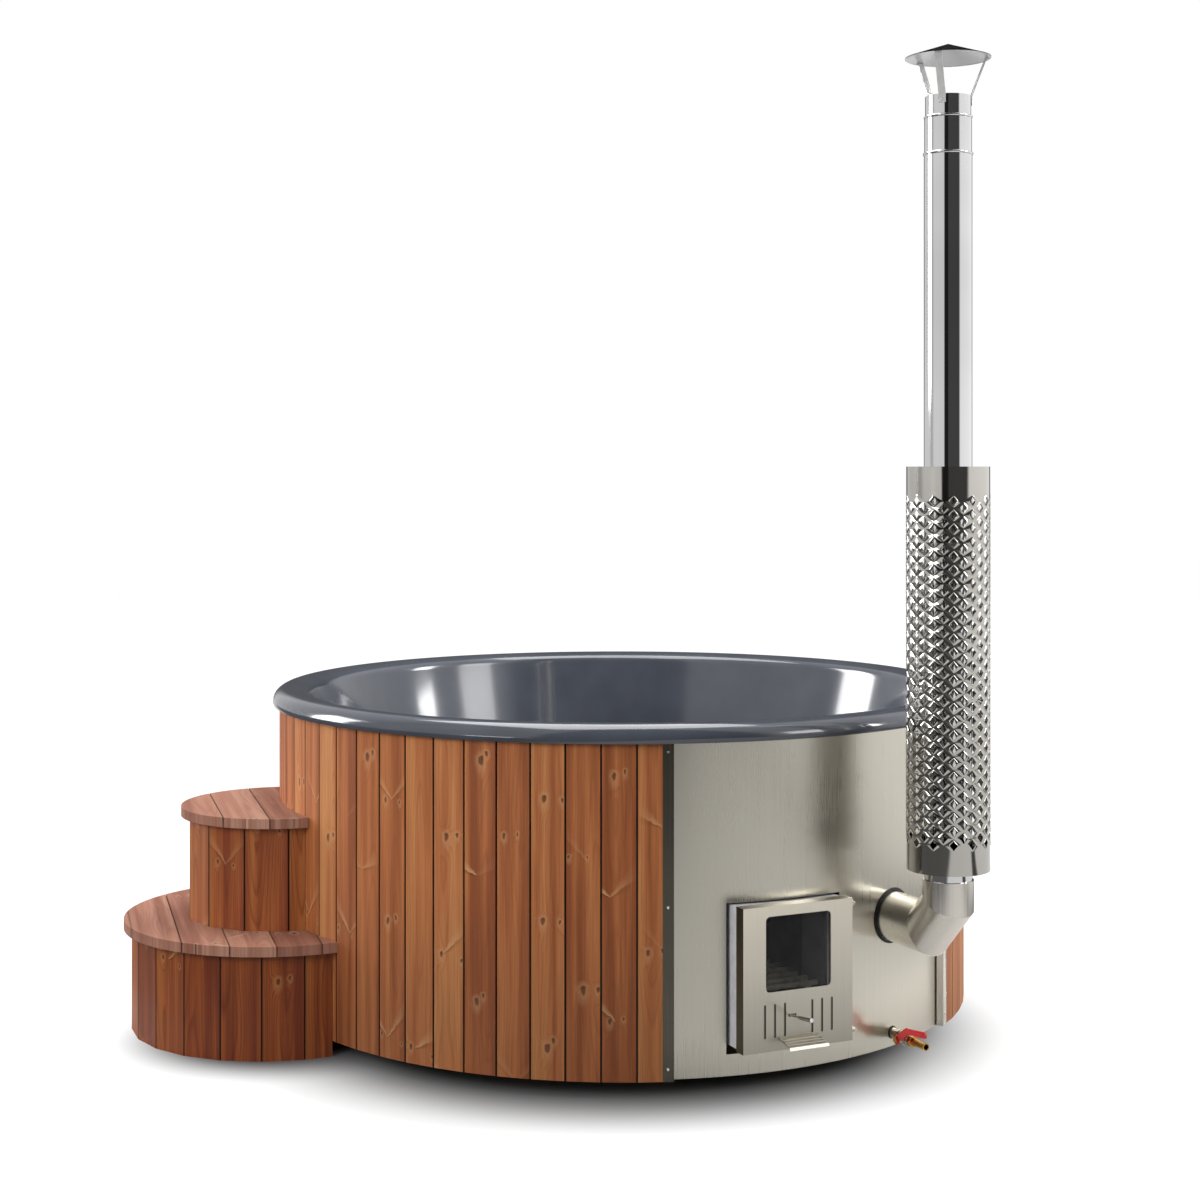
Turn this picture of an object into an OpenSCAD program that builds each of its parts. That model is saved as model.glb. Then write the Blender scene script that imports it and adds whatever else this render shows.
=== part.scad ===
// Round wooden hot tub with a moulded liner, thermowood cladding, a built-in wood stove behind
// a steel front, an outside chimney with a guard, a drain valve and a two-tier step unit.
// Origin: the tub's axis on the ground. +Z is up, the stove door faces -Y. Angles round the
// tub are counted from -Y towards +X.

/* [Cladding] */
// Outside width across the faces of opposite boards
clad_d = 1960; // [1900:10:1980]
// Thickness of a cladding board
board_t = 20; // [18:1:22]
// Boards between the two ends of the steel front
board_count = 60; // [52:4:64]
// Visible joint between two boards
board_joint = 3; // [2:0.5:4]
// Height of the boards' lower ends above the ground
clad_z = 40; // [36:1:46]
// Height of the boards' upper ends, under the rim
clad_top = 884; // [878:1:886]
// Angle where the steel front starts
front_start = -18.6; // [-20:0.2:-17]
// Angle where the steel front ends
front_end = 35; // [33:0.5:38]
// Thickness of the steel front sheet
front_t = 1.5; // [1:0.5:2]
// Leg of the corner trims
trim_leg = 25; // [20:1:30]
// Thickness of the corner trims
trim_t = 2; // [1.5:0.5:2.5]

/* [Liner] */
// Outside diameter of the rolled rim
rim_d = 2000; // [1996:2:2010]
// Height of the rim's crown
rim_z = 908; // [905:1:912]
// Wall of the moulded liner
liner_t = 8; // [6:1:9]
// Inside diameter at the top of the wall
mouth_d = 1790; // [1760:5:1794]
// Inside diameter of the wall at the bench
wall_d = 1600; // [1560:10:1700]
// Inside diameter of the foot well
well_d = 1000; // [960:10:1080]
// Height of the inside floor
floor_z = 103; // [101:1:106]
// Height of the bench
bench_z = 430; // [400:5:450]

/* [Frame] */
// Width of a floor joist
joist_w = 45; // [40:1:50]
// Distance between joists
joist_pitch = 280; // [270:2:284]
// Thickness of the plywood hoops
hoop_t = 18; // [15:1:20]
// Width of the plywood hoops
hoop_w = 60; // [54:1:64]
// Height of the middle hoop
mid_hoop_z = 510; // [506:1:560]
// Width of a wall post
post_w = 45; // [36:1:50]
// Depth of a wall post
post_d = 38; // [30:1:40]

/* [Stove] */
// Sideways place of the stove's middle
stove_x = -14; // [-18:1:-10]
// Width of the water jacket's front block
jacket_w = 370; // [360:2:376]
// Right end of the jacket's side block
side_x = 412; // [406:1:414]
// Front face of the jacket
jacket_y = -915; // [-918:1:-910]
// Front face of the side block
side_y = -840; // [-846:1:-836]
// Back face of the jacket
jacket_back_y = -458; // [-470:1:-450]
// Top of the jacket
jacket_top = 480; // [470:1:490]
// Plate thickness of the stove
plate_t = 3; // [2:0.5:4]
// Inside width of the firebox
fire_w = 280; // [260:2:284]
// Bottom of the firebox inside
fire_z = 118; // [114:1:122]
// Top of the firebox inside
fire_top = 430; // [420:1:434]
// Back wall of the firebox inside
fire_back_y = -520; // [-540:1:-510]
// Diameter of a grate bar
bar_d = 14; // [12:1:16]
// Distance between grate bars
bar_pitch = 48; // [40:1:56]
// Height of the grate bars' middle
grate_z = 222; // [212:1:226]

/* [Door] */
// Door width
door_w = 310; // [304:1:316]
// Door height
door_h = 353; // [350:1:356]
// Height of the door's lower edge
door_z = 109; // [107:1:111]
// Front face of the door
door_y = -1020; // [-1024:1:-1016]
// Depth of the door's folded edge
door_depth = 35; // [33:1:36]
// Sheet thickness of the door
door_t = 2; // [1.5:0.5:2.5]
// Width and height of the window
window = 184; // [170:1:190]
// Distance from the door's top to the window
window_drop = 25; // [23:1:30]
// Corner radius of the window
window_r = 11; // [6:1:16]
// Thickness of the ceramic glass
glass_t = 4; // [3:0.5:5]
// Width of an air slot
slot_w = 6; // [5:0.5:7]
// Distance from the door's lower edge to the slots
slot_rise = 32; // [29:1:36]
// Distance between the slots and the window
slot_gap = 29; // [26:1:34]
// Distance between neighbouring air slots
slot_pitch = 28.1; // [26:0.1:29]
// Distance from the door's middle to the nearest slots
slot_in = 38.7; // [36:0.1:40]
// Travel of the air slide
slide_travel = 14; // [12:0.5:14]
// Diameter of the air rod
rod_d = 5; // [4:0.5:6]
// Length of the air rod
rod_len = 104; // [90:1:110]
// Diameter of the grip on the air rod
grip_d = 10.5; // [9:0.5:12]
// Width of the door's pull
pull_w = 111; // [90:1:116]
// Depth of the door's pull
pull_d = 50; // [40:1:54]
// Hinge pin diameter
hinge_d = 6; // [5:0.5:6]

/* [Chimney] */
// Outside diameter of the elbow
elbow_d = 126; // [125:1:132]
// Sideways place of the chimney
flue_x = 338; // [334:1:340]
// Place of the chimney's axis in front of the tub's middle
flue_y = -1146; // [-1156:1:-1140]
// Height of the flue outlet
outlet_z = 376; // [372:1:377]
// Cut back of the mitred corner
mitre = 80; // [70:1:82]
// Top end of the elbow
elbow_top = 515; // [505:1:520]
// Outside diameter of the chimney pipe
pipe_d = 118; // [114:1:120]
// Wall of the flue parts
flue_t = 1; // [0.8:0.1:1.2]
// Joint between the two chimney pipes
pipe_joint_z = 1420; // [1380:10:1440]
// Top of the upper pipe
pipe_top = 2297; // [2260:1:2320]
// Height of the short pipe under the cap
adapter_h = 90; // [70:1:100]
// Height of the cap's collar
collar_h = 55; // [50:1:65]
// Distance from the cap's collar to the cone's brim
cap_gap = 96; // [84:1:100]
// Brim diameter of the cone
cone_d = 210; // [204:1:216]
// Height of the cone
cone_h = 35; // [28:1:42]
// Width of a cap strap
strap_w = 18; // [14:1:22]
// Turn of the cap's straps round the pipe
strap_turn = 70; // [50:5:80]
// Outside diameter of the guard
guard_d = 206; // [200:1:212]
// Lower end of the guard
guard_z = 540; // [530:1:560]
// Length of the guard
guard_h = 991; // [960:1:1000]

/* [Drain] */
// Height of the drain pipe's axis
drain_z = 75; // [74:0.5:77]
// Diameter of the drain pipe
drain_d = 26.9; // [24:0.1:27.4]
// Bore of the drain pipe
drain_bore = 21; // [18:0.5:22]
// Place of the drain in the floor
drain_y = -240; // [-260:5:-200]
// Middle of the ball
ball_y = -964; // [-968:1:-962]
// Diameter of the ball
ball_d = 26; // [24:1:27]
// Bore through the ball
ball_bore = 15; // [12:1:16]
// Diameter of the valve's stem
stem_d = 8; // [7:0.5:9]
// Length of the lever
lever_len = 130; // [110:1:136]
// Diameter of the hose tail
tail_d = 19; // [17:0.5:20]
// Bore of the hose tail
tail_bore = 14; // [11:0.5:15]

/* [Steps] */
// Angle of the steps round the tub
step_turn = -99.5; // [-130:0.5:-90]
// Radius of the lower tread
low_r = 428; // [410:1:440]
// Height of the lower tread's top
low_z = 300; // [280:1:320]
// Radius of the upper tread
up_r = 275; // [265:1:290]
// Height of the upper tread's top
up_z = 601; // [570:1:620]
// Thickness of a tread
tread_t = 26; // [22:1:30]
// Overhang of a tread past the boards below it
overhang = 25; // [15:1:30]
// Width of a tread board with its joint
tread_pitch = 116; // [100:1:125]
// Joint between tread boards
tread_joint = 2; // [1.5:0.5:3]
// Boards under the lower tread, with their joints, in degrees
low_pitch = 15.5; // [15:0.5:17]
// Boards under the upper tread, with their joints, in degrees
up_pitch = 26.5; // [25:0.5:28]

/* [Hidden] */
$fn = 96;

// Small clearances that many fits share
seat = 0.3;
run = 0.05;
e = 1;

clad_r = clad_d / 2;
board_in = clad_r - board_t;
rim_r = rim_d / 2;
mouth_r = mouth_d / 2;
wall_r = wall_d / 2;
well_r = well_d / 2;
floor_under = floor_z - liner_t;
board_arc = 360 - front_end + front_start;
board_pitch = board_arc / board_count;
board_w = 2 * clad_r * tan(board_pitch / 2) - board_joint;
hoop_out = board_in - seat;
hoop_in = hoop_out - hoop_w;
front_in = hoop_out + 2 * seat;
front_out = front_in + front_t;

// Rim section: an elliptical roll outside, a smaller one inside
roll_r = 45;
roll_h = 40;
roll_z = rim_z - roll_h;
crown_r = rim_r - roll_r;
inner_roll = 26;
inner_drop = 5.5;
lip_drop = 7;
flange_under = rim_z - inner_drop - liner_t;

function ellipse_arc(cx, cy, rx, ry, from, to, n) =
    [for (i = [0 : n]) let (a = from + (to - from) * i / n) [cx + rx * cos(a), cy + ry * sin(a)]];

// Water side of the liner from the floor's middle up to the crown
round_r = 30;
inside_line = concat(
    [[0, floor_z]],
    ellipse_arc(well_r - round_r, floor_z + round_r, round_r, round_r, -90, 0, 4),
    ellipse_arc(well_r + round_r, bench_z - round_r, round_r, round_r, 180, 90, 4),
    ellipse_arc(wall_r - round_r, bench_z + round_r, round_r, round_r, -90, 0, 4),
    ellipse_arc(mouth_r + inner_roll, rim_z - inner_drop - inner_roll, inner_roll, inner_roll, 180, 90, 5));
rim_line = concat(
    ellipse_arc(crown_r, roll_z, roll_r, roll_h, 90, 0, 10),
    [[rim_r - 3, roll_z - lip_drop], [rim_r - liner_t - 3, roll_z - lip_drop]],
    ellipse_arc(crown_r, roll_z, roll_r - liner_t, roll_h - liner_t, 0, 90, 8));
outside_line = concat(
    [[0, floor_under]],
    ellipse_arc(well_r - round_r, floor_z + round_r, round_r + liner_t, round_r + liner_t, -90, 0, 4),
    ellipse_arc(well_r + round_r, bench_z - round_r, round_r - liner_t, round_r - liner_t, 180, 90, 4),
    ellipse_arc(wall_r - round_r, bench_z + round_r, round_r + liner_t, round_r + liner_t, -90, 0, 4),
    ellipse_arc(mouth_r + inner_roll, rim_z - inner_drop - inner_roll,
                inner_roll - liner_t, inner_roll - liner_t, 180, 90, 5));
function reversed(v) = [for (i = [len(v) - 1 : -1 : 0]) v[i]];

// The stove stands in a recess of the liner that is open to the front
recess_gap = 18;
recess_x0 = stove_x - jacket_w / 2 - recess_gap;
recess_x1 = side_x + recess_gap;
recess_y = jacket_back_y + recess_gap;
recess_top = jacket_top + recess_gap;
port_d = 60;
port_bore = 52;
ports = [[stove_x - 90, fire_z + 50], [stove_x + 110, fire_top - 10]];

fire_x = fire_w / 2;
duct_x = fire_x + plate_t;
duct_y0 = fire_back_y - 120;
duct_y1 = fire_back_y - 20;
duct_z0 = outlet_z - 52;
duct_z1 = outlet_z + 52;
duct_end = flue_x + 52;
spigot_d = elbow_d - 2 * 1.5 - 2 * seat;
spigot_y = side_y - 40;
// The mitres start this far past the centre line's corners on the elbow's inner side
mitre_reach = mitre + elbow_d / 2 * tan(22.5);
elbow_grip = 16;
stub_y = flue_y + mitre_reach + elbow_grip;
pipe_foot = outlet_z + mitre_reach + 2;

collar_w = door_w - 12;
cut_w = door_w + 12;
cut_z0 = door_z - 16;
cut_z1 = door_z + door_h + 1;
seal_gap = 8;
collar_front = door_y + door_t + 10.5;
collar_z0 = door_z + 4;
collar_z1 = door_z + door_h - 4;

door_back = door_y + door_t;
window_z = door_z + door_h - window_drop - window;
slot_z = door_z + slot_rise;
slot_h = window_z - slot_gap - slot_z;
glass_over = 10;
glass_w = window + 2 * glass_over;
frame_over = 26;
slot_places = [for (s = [-1, 1], i = [0 : 2]) stove_x + s * (slot_in + i * slot_pitch)];
slide_w = 2 * (slot_in + 2 * slot_pitch) + 34;
slide_z0 = slot_z - 8;
slide_z1 = slot_z + slot_h + 5;
slide_t = 1.5;
rod_x = stove_x - 24.4;
rod_z = slot_z + 0.6 * slot_h;
rod_tilt = 7;
pull_z = slot_z - 4;

hinge_x = stove_x + door_w / 2 + 14;
hinge_y = door_y + door_depth - 7;
hinge_heights = [door_z + 18, door_z + door_h - 20];
lug_t = 4;

adapter_top = pipe_top + adapter_h;
cap_top = adapter_top + collar_h;
brim_z = cap_top + cap_gap;
guard_r = guard_d / 2;

body_r = 19;
body_start = ball_y + 37;
body_end = ball_y - 25;
bonnet = 27;
lever_t = 3;
lever_x = flue_x - bonnet - seat - lever_t;
tail_start = body_end + 10;
tail_end = -1052;

step_gap = 0.5;
step_in = clad_r / cos(board_pitch / 2) + step_gap;

wood = "#a8693d";
step_wood = "#86482c";
tread_wood = "#8e6450";
gelcoat = "#5c6878";
brushed = "#b5b3a9";
polished = "#d5d6d8";
ply = "#c9a878";
dark = "#2e2b29";

// ---------- shared shapes ----------

module tube(r_out, r_in, h) {
    difference() {
        cylinder(r = r_out, h = h);
        translate([0, 0, -e]) cylinder(r = r_in, h = h + 2 * e);
    }
}

// Ring sector between two radii, from one angle to another
module sector_ring(r_in, r_out, h, from, to) {
    rotate([0, 0, from - 90])
        rotate_extrude(angle = to - from, $fn = 180)
            translate([r_in, 0]) square([r_out - r_in, h]);
}

// A box between two corners
module block(a, b) {
    translate(a) cube(b - a);
}

// Something lying along -Y from a starting point
module forward(x, y, z) {
    translate([x, y, z]) rotate([90, 0, 0]) children();
}

module rounded_square(w, h, r) {
    union() {
        translate([r, 0]) square([w - 2 * r, h]);
        translate([0, r]) square([w, h - 2 * r]);
        for (x = [r, w - r], y = [r, h - r]) translate([x, y]) circle(r = r, $fn = 32);
    }
}

// ---------- floor frame and wall frame ----------

module base_joists() {
    // The lowest hoop hangs under the joists' ends, which are cut back above the ground
    end_r = hoop_out - post_d - 5;
    foot_r = hoop_in - hoop_w;
    color(ply)
    difference() {
        for (i = [-2 : 2]) {
            x = i * joist_pitch;
            reach = sqrt(pow(end_r, 2) - pow(abs(x) + joist_w / 2, 2));
            block([x - joist_w / 2, -reach, 0], [x + joist_w / 2, reach, floor_under]);
        }
        translate([0, 0, -e]) tube(rim_r, foot_r, clad_z + hoop_t + e);
    }
}

module hoop(z, h, r_in) {
    parts = 12;
    for (i = [0 : parts - 1])
        translate([0, 0, z])
            sector_ring(r_in, hoop_out, h, i * 360 / parts + 0.02, (i + 1) * 360 / parts - 0.02);
}

module bottom_hoop() {
    color(ply) hoop(clad_z, hoop_t, hoop_in);
}

module middle_hoop() {
    color(ply) hoop(mid_hoop_z, hoop_t, hoop_in);
}

top_hoop_z = flange_under - seat - 24;
module top_hoop() {
    color(ply) hoop(top_hoop_z, 24, mouth_r + inner_roll);
}

post_angles = concat([front_start + 1.7, front_end - 1.7], [for (i = [0 : 9]) 45 + 30 * i]);
module wall_posts() {
    tiers = [[clad_z + hoop_t, mid_hoop_z], [mid_hoop_z + hoop_t, top_hoop_z]];
    color(ply)
    for (a = post_angles, t = tiers)
        rotate([0, 0, a])
            block([-post_w / 2, -hoop_out + 2, t[0]], [post_w / 2, -hoop_out + 2 + post_d, t[1]]);
}

// ---------- liner ----------

// Rounded housing: its plan, front and side outlines together round every edge
module housing(grow, z0) {
    x0 = recess_x0 - grow;
    w = recess_x1 - recess_x0 + 2 * grow;
    depth = rim_r + recess_y + grow;
    top = recess_top + grow;
    r = round_r + grow;
    intersection() {
        translate([x0, -rim_r, z0]) linear_extrude(height = top - z0) rounded_square(w, depth, r);
        forward(x0, recess_y + grow, z0 - rim_z) linear_extrude(height = depth)
            rounded_square(w, top - z0 + rim_z, r);
        translate([x0, -rim_r, z0 - rim_z]) rotate([90, 0, 90]) linear_extrude(height = w)
            rounded_square(depth, top - z0 + rim_z, r);
    }
}

module tub_liner() {
    color(gelcoat)
    difference() {
        union() {
            rotate_extrude($fn = 180)
                polygon(concat(inside_line, rim_line, reversed(outside_line)));
            // Housing over the stove, moulded into the bench
            intersection() {
                housing(liner_t, floor_under);
                rotate_extrude($fn = 180)
                    polygon(concat(outside_line, [[0, rim_z - inner_drop - liner_t]]));
            }
        }
        housing(0, 0);
        for (p = ports) forward(p[0], recess_y + 2 * liner_t, p[1]) cylinder(d = port_d + 2 * seat, h = 4 * liner_t);
        translate([flue_x, drain_y, 0]) cylinder(d = strainer_d + 2 * seat, h = floor_z + e);
    }
}

// ---------- cladding ----------

tongue = 4.5;
tongue_t = 6;
groove_gap = 0.8;
module board_outline(tongued) {
    w = board_w / 2;
    mid = clad_r - board_t / 2;
    bevel = 1.5;
    union() {
        polygon([
            [-w, -board_in], [w, -board_in],
            [w, -clad_r + bevel], [w - bevel, -clad_r], [-w + bevel, -clad_r], [-w, -clad_r + bevel],
            [-w, -mid - tongue_t / 2 - groove_gap], [-w + tongue, -mid - tongue_t / 2 - groove_gap],
            [-w + tongue, -mid + tongue_t / 2 + groove_gap], [-w, -mid + tongue_t / 2 + groove_gap]]);
        if (tongued) translate([w - e, -mid - tongue_t / 2]) square([tongue + e, tongue_t]);
    }
}

module cladding(part) {
    per_part = board_count / 4;
    color(wood)
    for (i = [(part - 1) * per_part : part * per_part - 1])
        rotate([0, 0, front_end + board_pitch * (i + 0.5)])
            translate([0, 0, clad_z])
                linear_extrude(height = clad_top - clad_z) board_outline(i < board_count - 1);
}

// ---------- steel front ----------

front_z1 = top_hoop_z + 6;
module front_panel() {
    color(brushed)
    difference() {
        translate([0, 0, clad_z])
            sector_ring(front_in, front_out, front_z1 - clad_z, front_start + 0.05, front_end - 0.05);
        block([stove_x - cut_w / 2, -rim_r, cut_z0], [stove_x + cut_w / 2, -board_in / 2, cut_z1]);
        forward(flue_x, -board_in / 2, outlet_z) cylinder(r = elbow_d / 2 + seal_gap, h = board_in);
        forward(flue_x, -board_in / 2, drain_z) cylinder(r = drain_d / 2 + grommet_t + seat, h = board_in);
    }
}

// One L trim: its leg lies on the last board's face, its side closes that board's end
screw_heights = [clad_z + 30, (clad_z + clad_top) / 2, clad_top - 44];
module trim_at(a, side) {
    half = board_w / 2 + board_joint / 2;
    rotate([0, 0, a]) mirror([side < 0 ? 1 : 0, 0, 0])
        difference() {
            translate([0, 0, clad_z]) union() {
                block([-half - trim_t, -clad_r - trim_t, 0], [-half + trim_leg, -clad_r, trim_top - clad_z]);
                block([-half - trim_t, -clad_r - trim_t, 0], [-half, -front_out - 2, trim_top - clad_z]);
            }
            for (z = screw_heights)
                forward(-half + trim_leg / 2, -clad_r + e, z) cylinder(r = 1.7, h = trim_t + 2 * e);
        }
}
trim_top = roll_z - lip_drop - 4;
trim_places = [[front_end + board_pitch / 2, 1], [front_start - board_pitch / 2, -1]];
module panel_trims() {
    color(brushed) for (p = trim_places) trim_at(p[0], p[1]);
}

module trim_screws() {
    half = board_w / 2 + board_joint / 2;
    color(polished)
    for (p = trim_places, z = screw_heights)
        rotate([0, 0, p[0]]) forward(p[1] * (-half + trim_leg / 2), -clad_r - 0.02, z)
            union() {
                cylinder(r = 1.5, h = trim_t);
                translate([0, 0, trim_t]) cylinder(r1 = 3.8, r2 = 2.6, h = 1.6);
            }
}

// ---------- stove ----------

module jacket_space(inset) {
    left = stove_x - jacket_w / 2;
    right = stove_x + jacket_w / 2;
    union() {
        block([left + inset, jacket_y + inset, floor_under + inset],
              [right - inset, jacket_back_y - inset, jacket_top - inset]);
        block([right - inset - e, side_y + inset, floor_under + inset],
              [side_x - inset, jacket_back_y - inset, jacket_top - inset]);
    }
}

module stove_jacket() {
    hole_x = fire_x + plate_t + seat;
    color(brushed)
    difference() {
        jacket_space(0);
        jacket_space(plate_t);
        block([stove_x - hole_x, jacket_y - e, fire_z - plate_t - seat],
              [stove_x + hole_x, jacket_y + plate_t + e, fire_top + plate_t + seat]);
        forward(flue_x, side_y + 2 * plate_t, outlet_z) cylinder(d = spigot_d + 2 * seat, h = 4 * plate_t);
        for (p = ports)
            forward(p[0], jacket_back_y + plate_t, p[1]) cylinder(d = port_d + 2 * seat, h = 4 * plate_t);
    }
}

module firebox() {
    front = jacket_y + seat;
    color(dark)
    difference() {
        union() {
            block([stove_x - duct_x, front, fire_z - plate_t],
                  [stove_x + duct_x, fire_back_y + plate_t, fire_top + plate_t]);
            block([stove_x + fire_x, duct_y0 - plate_t, duct_z0 - plate_t],
                  [duct_end + plate_t, duct_y1 + plate_t, duct_z1 + plate_t]);
            forward(flue_x, duct_y0 - plate_t, outlet_z) cylinder(d = spigot_d, h = duct_y0 - plate_t - spigot_y);
        }
        block([stove_x - fire_x, front - e, fire_z], [stove_x + fire_x, fire_back_y, fire_top]);
        block([stove_x, duct_y0, duct_z0], [duct_end, duct_y1, duct_z1]);
        forward(flue_x, duct_y0 + e, outlet_z) cylinder(d = spigot_d - 2 * 1.5, h = duct_y0 - spigot_y + 2 * e);
    }
}

module stove_collar() {
    color(polished)
    difference() {
        block([stove_x - collar_w / 2, collar_front, collar_z0], [stove_x + collar_w / 2, jacket_y, collar_z1]);
        block([stove_x - collar_w / 2 + plate_t, collar_front - e, collar_z0 + plate_t],
              [stove_x + collar_w / 2 - plate_t, jacket_y + e, collar_z1 - plate_t]);
    }
}

module fire_grate() {
    depth = fire_back_y - jacket_y - 50;
    count = floor(depth / bar_pitch);
    rail = 12;
    color(dark)
    union() {
        for (i = [0 : count])
            translate([stove_x - fire_x + seat, fire_back_y - 20 - i * bar_pitch, grate_z])
                rotate([0, 90, 0]) cylinder(d = bar_d, h = fire_w - 2 * seat, $fn = 32);
        // Side rails on legs that stand on the firebox floor
        for (s = [-1, 1]) {
            x = stove_x + s * (fire_x - 20);
            y0 = fire_back_y - 20 - count * bar_pitch;
            block([x - rail / 2, y0, grate_z - bar_d], [x + rail / 2, fire_back_y - 20, grate_z]);
            for (y = [y0, fire_back_y - 20 - rail])
                block([x - rail / 2, y, fire_z], [x + rail / 2, y + rail, grate_z - bar_d + e]);
        }
    }
}

module water_ports() {
    color(polished)
    for (p = ports)
        forward(p[0], recess_y + liner_t + seat + 8, p[1])
            difference() {
                union() {
                    cylinder(d = port_d + 26, h = 8);
                    cylinder(d = port_d, h = 8 + liner_t + 2 * recess_gap);
                }
                translate([0, 0, -e]) cylinder(d = port_bore, h = 100);
            }
}

// ---------- door ----------

module door_pan() {
    left = stove_x - door_w / 2;
    color(brushed)
    difference() {
        block([left, door_y, door_z], [left + door_w, door_y + door_depth, door_z + door_h]);
        block([left + door_t, door_back, door_z + door_t],
              [left + door_w - door_t, door_y + door_depth + e, door_z + door_h - door_t]);
        forward(stove_x - window / 2, door_back + e, window_z)
            linear_extrude(height = door_t + 2 * e) rounded_square(window, window, window_r);
        for (x = slot_places)
            forward(x - slot_w / 2, door_back + e, slot_z)
                linear_extrude(height = door_t + 2 * e) rounded_square(slot_w, slot_h, slot_w / 2 - 0.01);
        // Way for the air rod
        block([rod_x - rod_d / 2 - 1.5, door_y - e, rod_z - rod_d / 2 - 1],
              [rod_x + slide_travel + rod_d / 2 + 1.5, door_back + e, rod_z + rod_d / 2 + 1.5]);
    }
}

module door_glass() {
    color([0.1, 0.1, 0.12, 0.4])
    block([stove_x - glass_w / 2, door_back + seat, window_z - glass_over],
          [stove_x + glass_w / 2, door_back + seat + glass_t, window_z + window + glass_over]);
}

stud_x = glass_w / 2 + 8;
stud_heights = [window_z + 2, window_z + window - 2];
module glass_frame() {
    y0 = door_back + 2 * seat + glass_t;
    color(brushed)
    difference() {
        block([stove_x - window / 2 - frame_over, y0, window_z - glass_over],
              [stove_x + window / 2 + frame_over, y0 + 3, window_z + window + glass_over]);
        block([stove_x - window / 2 - 2, y0 - e, window_z - 2],
              [stove_x + window / 2 + 2, y0 + 3 + e, window_z + window + 2]);
        for (s = [-1, 1], z = stud_heights)
            forward(stove_x + s * stud_x, y0 + 3 + e, z) cylinder(r = 2.2, h = 3 + 2 * e);
    }
}

module glass_screws() {
    y1 = door_back + 2 * seat + glass_t + 3 + seat;
    color(polished)
    for (s = [-1, 1], z = stud_heights)
        forward(stove_x + s * stud_x, y1 + 3, z)
            union() {
                cylinder(r = 2, h = y1 + 3 - door_back);
                cylinder(r = 4, h = 3, $fn = 6);
            }
}

module door_seal() {
    w = collar_w / 2 + 2.5;
    z0 = collar_z0 - 1.5;
    z1 = collar_z1 + 1.5;
    rope = 10;
    color("#3a3a38")
    difference() {
        block([stove_x - w, door_back, z0], [stove_x + w, door_back + rope, z1]);
        block([stove_x - w + rope, door_back - e, z0 + rope], [stove_x + w - rope, door_back + rope + e, z1 - rope]);
    }
}

module air_slide() {
    y0 = door_back + seat;
    color(brushed)
    difference() {
        block([stove_x - slide_w / 2 - slide_travel / 2, y0, slide_z0],
              [stove_x + slide_w / 2 - slide_travel / 2, y0 + slide_t, slide_z1]);
        // Shut at rest: the holes come behind the door's slots at the end of the travel
        for (x = slot_places)
            block([x - slide_travel - slot_w / 2 - 1, y0 - e, slot_z - 1],
                  [x - slide_travel + slot_w / 2 + 1, y0 + slide_t + e, slot_z + slot_h]);
        forward(rod_x, y0 + slide_t + e, rod_z) cylinder(d = rod_d + 1, h = slide_t + 2 * e);
    }
}

module slide_guides() {
    y0 = door_back;
    y1 = door_back + 2 * seat + slide_t;
    w = slide_w / 2 + slide_travel / 2 + 4;
    color(brushed)
    for (s = [0, 1]) {
        edge = s == 0 ? slide_z0 - seat : slide_z1 + seat;
        dir = s == 0 ? -1 : 1;
        lo = min(edge, edge + dir * 6);
        hi = max(edge, edge + dir * 6);
        union() {
            block([stove_x - w, y0, lo], [stove_x + w, y1, hi]);
            block([stove_x - w, y1, min(lo, edge - dir * 5)], [stove_x + w, y1 + 1.5, max(hi, edge - dir * 5)]);
        }
    }
}

// The rod leans up a little and carries a thicker grip
grip_from = 50;
module along_rod() {
    translate([rod_x, door_back + seat + slide_t + seat, rod_z]) rotate([90 - rod_tilt, 0, 0]) children();
}
module air_rod() {
    color(polished)
    union() {
        forward(rod_x, door_back + 3 * seat + slide_t + 1.2, rod_z) cylinder(d = rod_d + 6, h = 1.2);
        along_rod() cylinder(d = rod_d, h = rod_len);
    }
}
module air_grip() {
    color(polished)
    along_rod() difference() {
        translate([0, 0, grip_from]) cylinder(d = grip_d, h = rod_len + 2 - grip_from);
        translate([0, 0, grip_from - e]) cylinder(d = rod_d + 2 * run, h = rod_len + seat - grip_from + e);
    }
}

// Folded sheet under the slots: a short flange against the door, a sloping tray with pressed ribs
// and a turned-down lip
module door_pull() {
    slope = 12;
    drop = pull_d * tan(slope);
    color(brushed)
    translate([stove_x - pull_w / 2, door_y, pull_z])
        rotate([90, 0, 90])
            linear_extrude(height = pull_w)
                union() {
                    polygon([[-seat, -5], [-seat, 6], [-1.5, 6], [-1.5, 1.5],
                             [-pull_d, 1.5 - drop], [-pull_d - 3, -5.5 - drop],
                             [-pull_d - 1, -6 - drop], [-pull_d + 1.2, -drop],
                             [-1.5, 0], [-1.5, -5]]);
                    for (i = [1 : 3])
                        translate([-i * pull_d / 4, 1.2 - i * drop / 4]) circle(r = 1.5, $fn = 24);
                }
}

module hinge_lugs() {
    color(brushed)
    for (z = hinge_heights)
        translate([0, 0, z])
            difference() {
                linear_extrude(height = lug_t)
                    polygon([[stove_x + collar_w / 2, hinge_y + 27], [hinge_x + 8, hinge_y + 27],
                             [hinge_x + 8, hinge_y - 8], [hinge_x - 8, hinge_y - 8],
                             [hinge_x - 8, hinge_y + 9], [stove_x + collar_w / 2, hinge_y + 9]]);
                translate([hinge_x, hinge_y, -e]) cylinder(d = hinge_d + 2 * run, h = lug_t + 2 * e);
            }
}

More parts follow.
